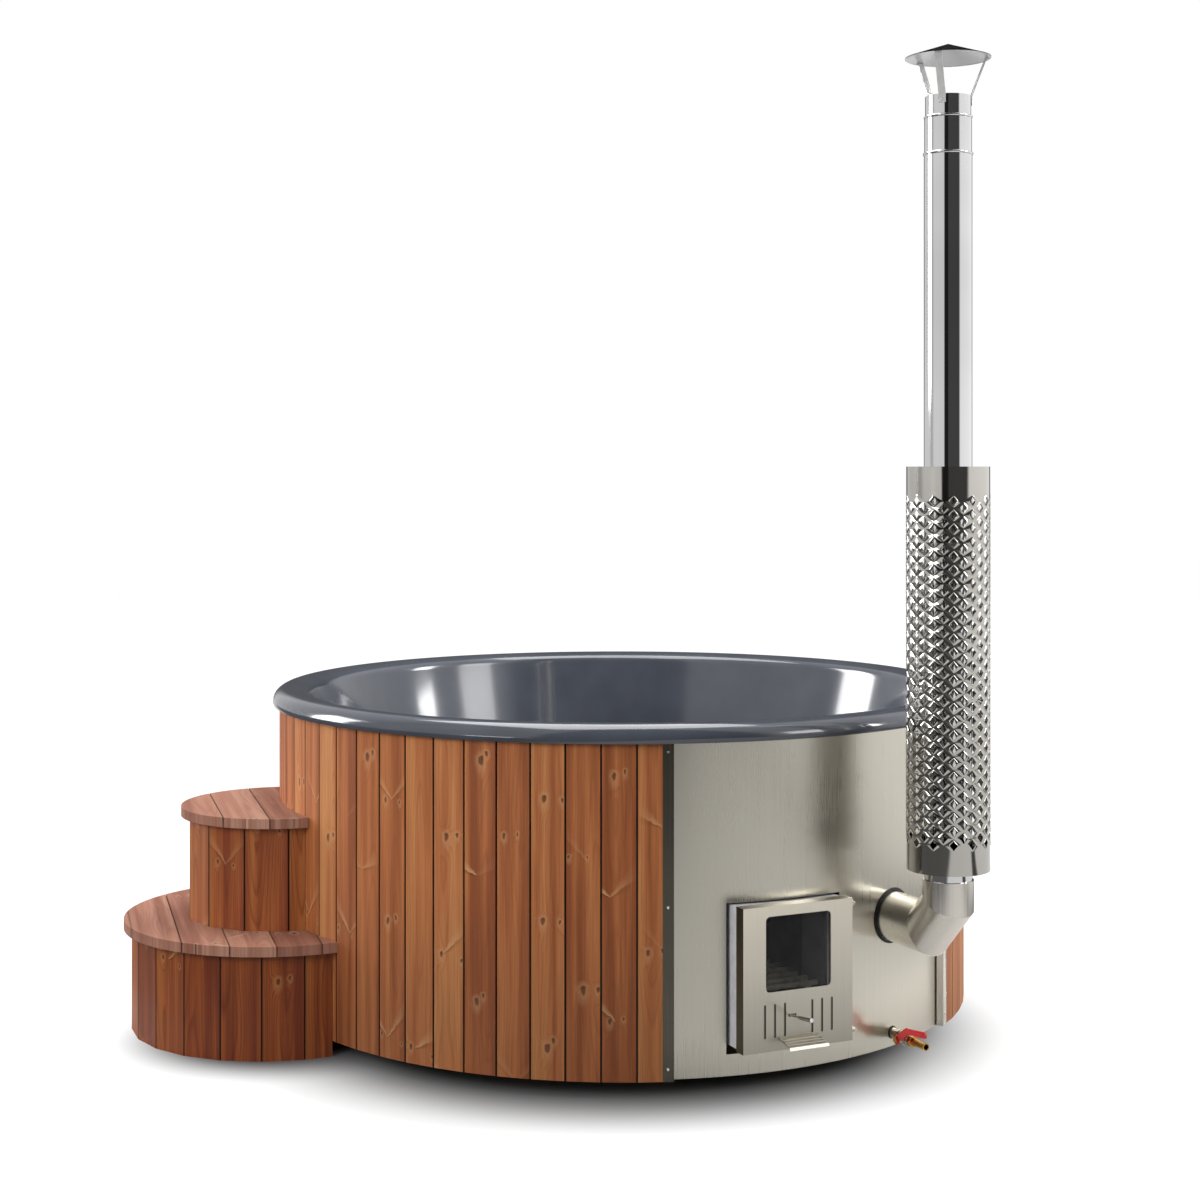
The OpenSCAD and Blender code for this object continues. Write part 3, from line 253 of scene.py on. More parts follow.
    # Its pale wood, then its dark wood
    streaks = []
    for stops in ([(0.36, 0.0), (0.46, 0.9), (0.56, 0.7), (0.95, 0.0)],
                  [(0.14, 0.0), (0.37, 0.6), (0.43, 0.0), (1.0, 0.0)]):
        wood = add(tree, "ShaderNodeValToRGB", {"Fac": bands}, stops=stops)
        streaks.append(add(tree, "ShaderNodeMath", {0: wood, 1: strength}, operation="MULTIPLY"))
    return nearest, *streaks


# %% The wood material
def thermowood(name, layout, tones, grain, knots, roughness=0.5, shade_at_ground=1.0, joint=0.95):
    """layout: gives board number, place across and along, and half a board's width in a tree;
    tones: dark, middle and light wood, late wood of a ring, pale wood at a knot, the knot;
    grain: how strongly the rings show; knots: the share of stretches with knots; shade_at_ground:
    how bright the boards stay at the ground under the painted shade; joint: how dark the joints are."""
    dark, middle, light, late_wood, pale, knot_wood = map(srgb, tones)
    material, tree, shader = finish(name, Roughness=roughness, Specular_IOR_Level=0.35)
    number, across, along, half_width = layout(tree)
    chance = add(tree, "ShaderNodeTexWhiteNoise", {"W": number}, noise_dimensions="1D")
    dice = add(tree, "ShaderNodeSeparateColor", {0: chance.outputs["Color"]})
    away, streak_pale, streak_dark = whorls(tree, number, across, along, dice.outputs[0], knots)

    # A point in the board's own space; boards are far apart in it, so none repeats
    apart = add(tree, "ShaderNodeMath", {0: number, 1: 3.7}, operation="MULTIPLY")
    flow = add(tree, "ShaderNodeCombineXYZ", {"X": across, "Y": apart, "Z": along})

    # Rings: the heart lies a little way under the face, and knots push the rings away
    near = add(tree, "ShaderNodeMapRange", {"Value": away, "From Min": 5.0, "From Max": 0.8},
               interpolation_type="SMOOTHSTEP")
    drift = stretched_noise(tree, flow, (6, 1, 1.1), 2.0)
    heart = add(tree, "ShaderNodeMapRange",
                {"Value": dice.outputs[1], "To Min": -55 * mm, "To Max": 55 * mm})
    from_heart = add(tree, "ShaderNodeMath", {0: across, 1: heart}, operation="SUBTRACT")
    depth = add(tree, "ShaderNodeMapRange", {"Value": drift, "To Min": 5 * mm, "To Max": 80 * mm})
    reach = add(tree, "ShaderNodeCombineXYZ", {"X": from_heart, "Y": depth})
    reach = add(tree, "ShaderNodeVectorMath", {0: reach}, operation="LENGTH").outputs["Value"]
    pushed = add(tree, "ShaderNodeMath", {0: near, 1: 9 * mm, 2: reach}, operation="MULTIPLY_ADD")
    rings = add(tree, "ShaderNodeMath", {0: pushed, 1: 5 * mm}, operation="DIVIDE")
    rings = add(tree, "ShaderNodeMath", {0: rings}, operation="FRACT")
    late = add(tree, "ShaderNodeValToRGB", {"Fac": rings},
               stops=[(0.0, 0.0), (0.6, 0.25), (0.86, 1.0), (1.0, 0.0)])

    # Streaks a thumb wide and fibres a hair wide, both drawn out along the board
    stain = stretched_noise(tree, flow, (38, 1, 1.3), 2.5)
    fibre = stretched_noise(tree, flow, (420, 1, 9), 3.0)

    # Colour: the board's tone and its streaks, then rings, fibres, pale wood and the knot itself
    tone = add(tree, "ShaderNodeMath", {0: dice.outputs[2], 1: 0.26, 2: stain},
               operation="MULTIPLY_ADD")
    # Painted shade: each board darkens a little across its width, towards one long edge
    tone = add(tree, "ShaderNodeMath", {0: across, 1: -1.2, 2: tone}, operation="MULTIPLY_ADD")
    colour = add(tree, "ShaderNodeValToRGB", {"Fac": tone},
                 stops=[(0.38, dark), (0.62, middle), (0.92, light)])
    ringed = add(tree, "ShaderNodeMath", {0: late, 1: grain}, operation="MULTIPLY")
    colour = add(tree, "ShaderNodeMix", {0: ringed, 6: colour, 7: late_wood}, data_type="RGBA")
    streak = add(tree, "ShaderNodeMapRange",
                 {"Value": fibre, "From Min": 0.3, "From Max": 0.7, "To Min": 0.86, "To Max": 1.1})
    colour = add(tree, "ShaderNodeVectorMath", {0: colour, 1: streak}, operation="MULTIPLY")
    halo = add(tree, "ShaderNodeMapRange", {"Value": away, "From Min": 3.4, "From Max": 0.8,
                                            "To Min": 0.0, "To Max": 0.4},
               interpolation_type="SMOOTHSTEP")
    halo = add(tree, "ShaderNodeMath", {0: halo, 1: streak_pale}, operation="MAXIMUM")
    colour = add(tree, "ShaderNodeMix", {0: halo, 6: colour, 7: pale}, data_type="RGBA")
    core = add(tree, "ShaderNodeMapRange", {"Value": away, "From Min": 0.0, "From Max": 1.6})
    core = add(tree, "ShaderNodeValToRGB", {"Fac": core},
               stops=[(0.0, 0.95), (0.3, 0.75), (0.48, 0.8), (0.75, 0.0)])
    core = add(tree, "ShaderNodeMath", {0: core, 1: streak_dark}, operation="MAXIMUM")
    colour = add(tree, "ShaderNodeMix", {0: core, 6: colour, 7: knot_wood}, data_type="RGBA")
    # Painted shade: darker towards the ground
    ground_shade = add(tree, "ShaderNodeMapRange", {"Value": along, "From Min": 0.04, "From Max": 0.6,
                                             "To Min": shade_at_ground, "To Max": 1.0},
                 interpolation_type="SMOOTHSTEP")
    colour = add(tree, "ShaderNodeVectorMath", {0: colour, 1: ground_shade}, operation="MULTIPLY")
    # The joint with the next board is nearly black
    edge = add(tree, "ShaderNodeMath", {0: across}, operation="ABSOLUTE")
    edge = add(tree, "ShaderNodeMapRange", {"Value": edge, "From Min": half_width - 3.6 * mm,
                                            "From Max": half_width - 1.4 * mm, "To Max": joint})
    colour = add(tree, "ShaderNodeMix", {0: edge, 6: colour, 7: srgb("#140A06")}, data_type="RGBA")

    relief = add(tree, "ShaderNodeMath", {0: late, 1: 0.6, 2: fibre}, operation="MULTIPLY_ADD")
    bump = add(tree, "ShaderNodeBump", {"Height": relief, "Strength": 0.25, "Distance": 0.3 * mm})
    sheen = add(tree, "ShaderNodeMapRange",
                {"Value": fibre, "To Min": roughness - 0.08, "To Max": roughness + 0.12})
    connect(tree, shader, {"Base Color": colour, "Normal": bump, "Roughness": sheen})
    return material


board_pitch = (math.tau - front_end + front_start) / board_count
cladding_wood = thermowood(
    "Oiled thermowood",
    lambda tree: ring_boards(tree, (0, 0, 0), front_end, board_pitch, tub_radius),
    ("#904F2B", "#B87042", "#CE8F58", "#824626", "#D4A070", "#4F2713"), 0.3, 0.52, shade_at_ground=0.72)
print("cladding boards are", round(board_pitch * tub_radius / mm, 1), "mm apart")

# %% [markdown]
# The step bodies are the same wood in a deeper red-brown, and the lower body's tones are set darker:
# a painted shade. The treads' tones are a paler, greyer brown: painted light for the flat light from
# above.

# %% Wood of the steps
low_step_radius = 403 * mm
low_step_pitch = math.radians(15.5)
low_step_start = step_turn - math.radians(1.8) - 8 * low_step_pitch
high_step_radius = 250 * mm
high_step_pitch = math.radians(26.5)
high_step_start = step_turn + math.radians(7.3) - 5 * high_step_pitch
tread_pitch = 116 * mm
first_tread = tub_radius + 65 * mm
# Painted shade: the lower body's tones are set darker than the upper body's
shaded_low_step_wood = thermowood(
    "Stained thermowood low, painted shade",
    lambda tree: ring_boards(tree, step_centre, low_step_start, low_step_pitch, low_step_radius),
    ("#6A2D12", "#8E4820", "#AA642E", "#54220C", "#BC8450", "#381607"), 0.6, 0.7)
high_step_wood = thermowood(
    "Stained thermowood high",
    lambda tree: ring_boards(tree, step_centre, high_step_start, high_step_pitch,
                             high_step_radius),
    ("#7E3C1F", "#A05A30", "#BA7842", "#642E15", "#C48E5E", "#411C0C"), 0.5, 0.7)
# Painted light: the treads' tones are paler and greyer for the flat light that falls on them from
# above
top_lit_tread_wood = thermowood(
    "Thermowood treads, painted top light",
    lambda tree: row_boards(tree, step_turn, first_tread, tread_pitch),
    ("#8C5C4A", "#A87864", "#BE947E", "#74493A", "#CAA690", "#502D20"), 0.35, 0.6,
    roughness=0.58, joint=0.45)

# %% [markdown]
# Joists, hoops and posts are sawn pine and plywood, pale and dry, with plain fibres. They hide
# behind the boards and show only from below.

# %% Frame timber
frame_wood, tree, shader = finish("Sawn pine", Roughness=0.75)
place = add(tree, "ShaderNodeTexCoord").outputs["Object"]
grain = stretched_noise(tree, place, (60, 4, 60), 4.0)
pine = add(tree, "ShaderNodeValToRGB", {"Fac": grain},
           stops=[(0.3, srgb("#B08A5C")), (0.55, srgb("#CDAA7A")), (0.75, srgb("#DCBF92"))])
bump = add(tree, "ShaderNodeBump", {"Height": grain, "Strength": 0.3, "Distance": 0.4 * mm})
connect(tree, shader, {"Base Color": pine, "Normal": bump})

# %% [markdown]
# ## Gelcoat
# The liner is glass fibre with a coloured gelcoat, sprayed against a polished mould. It is smooth
# and glossy, with a faint waviness from the mould and tiny changes of tone.

# %% The liner's gelcoat
gelcoat, tree, shader = finish("Gelcoat", Roughness=0.13, IOR=1.52, Coat_Weight=0.35,
                               Coat_Roughness=0.04)
place = add(tree, "ShaderNodeTexCoord").outputs["Object"]
cloud = add(tree, "ShaderNodeTexNoise", {"Vector": place, "Scale": 5.0, "Detail": 3.0})
blue_grey = add(tree, "ShaderNodeValToRGB", {"Fac": cloud},
                stops=[(0.35, srgb("#42464E")), (0.65, srgb("#4B4F58"))])
wave = add(tree, "ShaderNodeTexNoise", {"Vector": place, "Scale": 9.0, "Detail": 1.0})
bump = add(tree, "ShaderNodeBump", {"Height": wave, "Strength": 0.05, "Distance": 2 * mm})
connect(tree, shader, {"Base Color": blue_grey, "Normal": bump})

# %% [markdown]
# ## Stainless steel
# The front, the door and the stove are brushed sheet: a belt leaves fine upright scratches, so
# reflections smear sideways. The chimney is the same steel polished to a mirror, and the elbow is
# in between. The scratches are stretched noise, drawn a little coarser than real ones. Three of the
# sheets also carry painted reflections: their tone changes from place to place for the different
# parts of a room that they mirror.

# %% Brushed, satin and mirror steel
upright_scratches = (300, 300, 2)
no_scratches = (3, 3, 3)


def steel(name, tones, roughness, spread, anisotropic=0.0, scratch=upright_scratches):
    """tones: darker and lighter colour; spread: how much the roughness changes; scratch: how fine
    the unevenness is along X, Y and Z."""
    material, tree, shader = finish(name, Metallic=1.0, Roughness=roughness,
                                    Anisotropic=anisotropic)
    place = add(tree, "ShaderNodeTexCoord").outputs["Object"]
    lines = stretched_noise(tree, place, scratch, 3.0)
    cloud = add(tree, "ShaderNodeTexNoise", {"Vector": place, "Scale": 3.0, "Detail": 3.0})
    uneven = add(tree, "ShaderNodeMath", {0: lines, 1: cloud}, operation="ADD")
    uneven = add(tree, "ShaderNodeMapRange", {"Value": uneven, "From Min": 0.7, "From Max": 1.3})
    colour = add(tree, "ShaderNodeValToRGB", {"Fac": uneven},
                 stops=[(0.0, srgb(tones[0])), (1.0, srgb(tones[1]))])
    rough = add(tree, "ShaderNodeMapRange", {"Value": uneven, "To Min": roughness - spread,
                                            "To Max": roughness + spread})
    connect(tree, shader, {"Base Color": colour, "Roughness": rough})
    if anisotropic:
        around = add(tree, "ShaderNodeTangent", direction_type="RADIAL", axis="Z")
        bump = add(tree, "ShaderNodeBump", {"Height": lines, "Strength": 0.01,
                                           "Distance": 0.1 * mm})
        connect(tree, shader, {"Tangent": around, "Normal": bump})
    return material


def painted_light_gradient(material, axis, ends, levels):
    """Painted light: multiplies a material's colour by a level that changes between two places on an
    axis.
    """
    tree, shader, colour = reopen(material)
    place = add(tree, "ShaderNodeTexCoord").outputs["Object"]
    place = add(tree, "ShaderNodeSeparateXYZ", {0: place}).outputs[axis]
    level = add(tree, "ShaderNodeMapRange", {"Value": place, "From Min": ends[0], "From Max": ends[1],
                                            "To Min": levels[0], "To Max": levels[1]})
    colour = add(tree, "ShaderNodeVectorMath", {0: colour, 1: level}, operation="MULTIPLY")
    connect(tree, shader, {"Base Color": colour})


def recoloured(material, code, kind, output, axis, operation, limit):
    """Another colour where a node's output is past a limit on one axis. Returns where that is."""
    tree, shader, colour = reopen(material)
    part = add(tree, "ShaderNodeSeparateXYZ", {0: add(tree, kind).outputs[output]}).outputs[axis]
    there = add(tree, "ShaderNodeMath", {0: part, 1: limit}, operation=operation)
    colour = add(tree, "ShaderNodeMix", {0: there, 6: colour, 7: srgb(code)}, data_type="RGBA")
    connect(tree, shader, {"Base Color": colour})
    return there


brushed = steel("Brushed stainless sheet", ("#C0BCB0", "#C6C2B6"), 0.28, 0.012, 0.35)
door_steel = steel("Brushed door sheet", ("#C3BDAF", "#CAC4B7"), 0.3, 0.015)
# Painted reflection: the trim's tones are dark, for the dark corner of the room that it mirrors
trim_painted_reflections = steel("Stainless trim, painted reflections", ("#4C4942", "#5C5850"), 0.26, 0.04, 0.3)
# Painted shade: the slide behind the door's slots is dark so that the slots look shaded
slot_shade_sheet = steel("Dark sheet, painted slot shade", ("#57534C", "#6A665E"), 0.4, 0.05)
satin = steel("Satin stainless tube", ("#D0CBC2", "#E0DCD4"), 0.24, 0.04, 0.3)
mirror = steel("Polished stainless tube", ("#D2D2D3", "#DDDDDE"), 0.045, 0.012,
               scratch=no_scratches)
guard_steel = steel("Polished perforated sheet", ("#B8B5AF", "#C6C3BD"), 0.07, 0.02,
                    scratch=no_scratches)
bright = steel("Bright stainless sheet", ("#D5D4D0", "#E2E1DE"), 0.18, 0.04)

# Painted reflection: the front sheet gets lighter to the right, where it turns towards the bright
# side of the room
painted_light_gradient(brushed, "X", (-0.3, 0.5), (0.84, 1.25))
# Painted light on the door: its face gets darker downwards, and its folded left edge gets a painted
# dark reflection of the dark end of the room
painted_light_gradient(door_steel, "Z", (0.11, 0.46), (0.62, 1.2))
recoloured(door_steel, "#63584A", "ShaderNodeTexCoord", "Normal", "X", "LESS_THAN", -0.5)
# Painted reflections on the trims: their tones are dark for the dark corner of the room that the left
# one mirrors, and the right one is painted light for a bright screen
recoloured(trim_painted_reflections, "#DAD7CF", "ShaderNodeTexCoord", "Object", "X", "GREATER_THAN", 0.0)

# %% [markdown]
# ## Fire side, glass, rubber and fittings
# The firebox is bare plate, already dull and dark. The window is glass-ceramic, nearly clear.
# The valve is nickel-plated brass with a bare brass tail and a dipped red lever.

# %% Small finishes
def mottled(name, tones, scale, bump_depth, **inputs):
    """A finish with soft clouds of two tones and a fine surface relief."""
    material, tree, shader = finish(name, **inputs)
    place = add(tree, "ShaderNodeTexCoord").outputs["Object"]
    cloud = add(tree, "ShaderNodeTexNoise", {"Vector": place, "Scale": scale, "Detail": 4.0})
    colour = add(tree, "ShaderNodeValToRGB", {"Fac": cloud},
                 stops=[(0.35, srgb(tones[0])), (0.65, srgb(tones[1]))])
    bump = add(tree, "ShaderNodeBump", {"Height": cloud, "Strength": 0.4, "Distance": bump_depth})
    connect(tree, shader, {"Base Color": colour, "Normal": bump})
    return material


firebox_steel = mottled("Firebox plate", ("#3A3D42", "#55585E"), 14, 0.2 * mm,
                        Metallic=0.3, Roughness=0.5)
grate_iron = mottled("Grate bars", ("#A9A598", "#C4BFB0"), 60, 0.2 * mm, Metallic=0.2,
                     Roughness=0.5)
collar_steel = mottled("Blasted collar", ("#D2D0D4", "#E2E0E4"), 40, 0.05 * mm, Metallic=0.1,
                       Roughness=0.5)
# Painted shade: the stove jacket is near black; only its front shows, in the shaded gap beside the
# door
jacket_gap_shade = mottled("Near-black jacket, painted gap shade", ("#161617", "#202021"), 40, 0.1 * mm, Roughness=0.6)
strap_steel = mottled("Cap straps", ("#CFCFCE", "#DEDEDD"), 40, 0.05 * mm, Metallic=0.3,
                      Roughness=0.5)
cap_steel = mottled("Cap, dark outside", ("#161617", "#222223"), 25, 0.1 * mm, Roughness=0.4,
                    Specular_IOR_Level=0.0)
rubber = mottled("Silicone rubber", ("#0E0E0F", "#1A1A1B"), 60, 0.1 * mm, Roughness=0.55)
nylon = mottled("Moulded nylon", ("#DCDCD8", "#E8E8E4"), 40, 0.05 * mm, Roughness=0.45)
nickel = mottled("Nickel plate", ("#A9A191", "#BDB6A8"), 90, 0.08 * mm, Metallic=1.0,
                 Roughness=0.28)
brass = mottled("Turned brass", ("#A37A36", "#C79A52"), 50, 0.05 * mm, Metallic=1.0, Roughness=0.24)
red_dip = mottled("Dipped vinyl", ("#D4141F", "#E61E2B"), 30, 0.1 * mm, Roughness=0.28,
                  Coat_Weight=0.3)

# The cap is painted outside only; faces that look down show its bare, bright sheet
below = recoloured(cap_steel, "#E4E4E4", "ShaderNodeNewGeometry", "Normal", "Z", "LESS_THAN", -0.1)
tree, shader, _ = reopen(cap_steel)
connect(tree, shader, {"Metallic": below})

# The window's glass has a thin, uneven haze
glass, tree, shader = finish("Glass-ceramic", Base_Color=srgb("#C9C6BE"), Roughness=0.03,
                             Transmission_Weight=1.0, IOR=1.5, Specular_IOR_Level=0.2, Alpha=0.16)
haze = add(tree, "ShaderNodeTexNoise", {"Scale": 30.0})
haze = add(tree, "ShaderNodeMapRange", {"Value": haze, "To Min": 0.01, "To Max": 0.05})
connect(tree, shader, {"Roughness": haze})

# %% [markdown]
# The door's rope seal is knitted glass fibre. Its stitches are too small to model, so two crossed
# waves give their relief.

# %% Rope seal
rope, tree, shader = finish("Glass-fibre rope", Roughness=0.9, Sheen_Weight=0.2)
place = add(tree, "ShaderNodeTexCoord").outputs["Object"]
slant = add(tree, "ShaderNodeTexWave", {"Vector": place, "Scale": 110.0, "Distortion": 1.0},
            bands_direction="DIAGONAL")
twill = add(tree, "ShaderNodeValToRGB", {"Fac": slant},
            stops=[(0.0, srgb("#1F1F1E")), (1.0, srgb("#4A4A47"))])
bump = add(tree, "ShaderNodeBump", {"Height": slant, "Strength": 0.8, "Distance": 1 * mm})
connect(tree, shader, {"Base Color": twill, "Normal": bump})

# %% [markdown]
# ## Finishes on the solids
# Each solid gets the finish of the real piece. The frame's meshes are loose triangles, so a small
# Geometry Nodes modifier joins them and shades round faces smoothly, while edges that turn by more
# than 30 degrees stay sharp.

# %% Smooth shading for the solids
def smooth_tree():
    tree = bpy.data.node_groups.new("Join and smooth", "GeometryNodeTree")
    tree.interface.new_socket("Geometry", in_out="INPUT", socket_type="NodeSocketGeometry")
    angle = tree.interface.new_socket("Sharp angle", in_out="INPUT", socket_type="NodeSocketFloat")
    angle.default_value = math.radians(30)
    tree.interface.new_socket("Geometry", in_out="OUTPUT", socket_type="NodeSocketGeometry")
    start = add(tree, "NodeGroupInput")
    joined = add(tree, "GeometryNodeMergeByDistance",
                 {"Geometry": start.outputs["Geometry"], "Distance": 0.01 * mm})
    faces = add(tree, "GeometryNodeSetShadeSmooth", {"Geometry": joined, "Shade Smooth": True},
                domain="FACE")
    turn = add(tree, "GeometryNodeInputMeshEdgeAngle").outputs["Unsigned Angle"]
    sharp = add(tree, "FunctionNodeCompare", {0: turn, 1: start.outputs["Sharp angle"]},
                data_type="FLOAT", operation="GREATER_THAN")
    edges = add(tree, "GeometryNodeSetShadeSmooth",
                {"Geometry": faces, "Selection": sharp, "Shade Smooth": False}, domain="EDGE")
    add(tree, "NodeGroupOutput", {0: edges})
    return tree


smoothing = smooth_tree()
finishes = {
    frame_wood: "base_joists bottom_hoop middle_hoop top_hoop wall_posts step_lower_frame "
                "step_upper_frame",
    gelcoat: "tub_liner",
    cladding_wood: "cladding_1 cladding_2 cladding_3 cladding_4",
    shaded_low_step_wood: "step_lower_boards",
    high_step_wood: "step_upper_boards",
    top_lit_tread_wood: "step_lower_tread step_upper_tread",
    jacket_gap_shade: "stove_jacket",
    brushed: "front_panel hinge_lugs",
    door_steel: "door_pan door_pull glass_frame hinge_leaves",
    slot_shade_sheet: "air_slide slide_guides",
    trim_painted_reflections: "panel_trims",
    satin: "flue_stub flue_elbow",
    collar_steel: "stove_collar",
    bright: "trim_screws glass_screws hinge_pins drain_strainer water_ports air_rod "
            "air_grip",
    mirror: "flue_pipe_lower flue_pipe_upper flue_adapter cap_collar",
    guard_steel: "heat_guard guard_brackets",
    strap_steel: "cap_straps cap_rivets",
    cap_steel: "cap_cone",
    firebox_steel: "firebox",
    grate_iron: "fire_grate",
    glass: "door_glass",
    rope: "door_seal",
    rubber: "flue_seal pipe_grommet",
    nylon: "drain_fitting valve_seats",
    nickel: "drain_pipe valve_body valve_ball",
    brass: "valve_stem hose_tail",
    red_dip: "valve_lever",
}
dressed = set()
for material, names in finishes.items():
    for name in names.split():
        solid = nodes[name]
        solid.data.materials.clear()
        solid.data.materials.append(material)
        modifier = solid.modifiers.new("Join and smooth", "NODES")
        modifier.node_group = smoothing
        dressed.add(name)
print("without a finish:", sorted(set(nodes) - dressed))

# %% [markdown]
# ## The chimney guard
# The guard is a polished sheet rolled into a tube. Its holes are diamonds in staggered columns, and
# the punch leaves a slightly raised lip round each, which sparkles. The sheet between them stays
# flat and mirrors like the pipe. One cell is a diamond-shaped patch with its hole; such patches tile
# the sheet with no gaps. Geometry Nodes copy the cell over the flat sheet, add the plain bands at
# both ends and roll the sheet round the pipe.

# %% One cell and one piece of the plain end
guard_low, guard_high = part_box("heat_guard")
guard_x = (guard_low[0] + guard_high[0]) / 2
guard_y = (guard_low[1] + guard_high[1]) / 2
columns, rows = 26, 26
lip = 1.0 * mm
sheet = 1.0 * mm
base_radius = (guard_high[0] - guard_low[0]) / 2 - lip
column_pitch = math.tau * base_radius / columns
row_pitch = 33.3 * mm
half_row = row_pitch / 2
hole = (10.4 * mm, 12.6 * mm)
flat_rim = (12.8 * mm, 14.8 * mm)
plain_end = 58 * mm
pattern_low = guard_low[2] + plain_end
pattern_high = pattern_low + rows * row_pitch


def diamond(half_width, half_height, lift):
    """The four corners of a diamond in the XZ plane, lifted towards -Y."""
    return [Vector(corner) for corner in ((-half_width, -lift, 0), (0, -lift, -half_height),
                                          (half_width, -lift, 0), (0, -lift, half_height))]


def patch(name, rows_of_corners, closed=True, steps=4):
    """Quads between rows of corners, or between rings of them if closed; every side is cut so that
    it can be bent."""
    mesh = bmesh.new()
    for outer, inner in zip(rows_of_corners, rows_of_corners[1:]):
        for k in range(len(outer) if closed else len(outer) - 1):
            after = (k + 1) % len(outer)
            lines = [[a.lerp(b, s / steps) for s in range(steps + 1)]
                     for a, b in ((outer[k], outer[after]), (inner[k], inner[after]))]
            for s in range(steps):
                corners = (lines[0][s], lines[0][s + 1], lines[1][s + 1], lines[1][s])
                mesh.faces.new([mesh.verts.new(corner) for corner in corners])
    bmesh.ops.remove_doubles(mesh, verts=mesh.verts, dist=0.01 * mm)
    data = bpy.data.meshes.new(name)
    mesh.to_mesh(data)
    mesh.free()
    return bpy.data.objects.new(name, data)


cell = patch("guard_cell", [diamond(column_pitch, half_row, 0), diamond(*flat_rim, 0),
                            diamond(*hole, lip)])
ends = {}
for name, height in (("Upper end", guard_high[2] - pattern_high),
                     ("Lower end", guard_low[2] - pattern_low)):
    # A plain piece two columns wide, which also fills the notch between two cells
    point = math.copysign(half_row, -height)
    notched = [Vector((-column_pitch, 0, 0)), Vector((0, 0, point)), Vector((column_pitch, 0, 0))]
    straight = [Vector((x * column_pitch, 0, height)) for x in (-1, 0, 1)]
    both_rows = [notched, straight] if height > 0 else [straight, notched]
    ends[name] = patch(name, both_rows, closed=False)
print("guard pattern from", round(pattern_low, 3), "to", round(pattern_high, 3), "m")

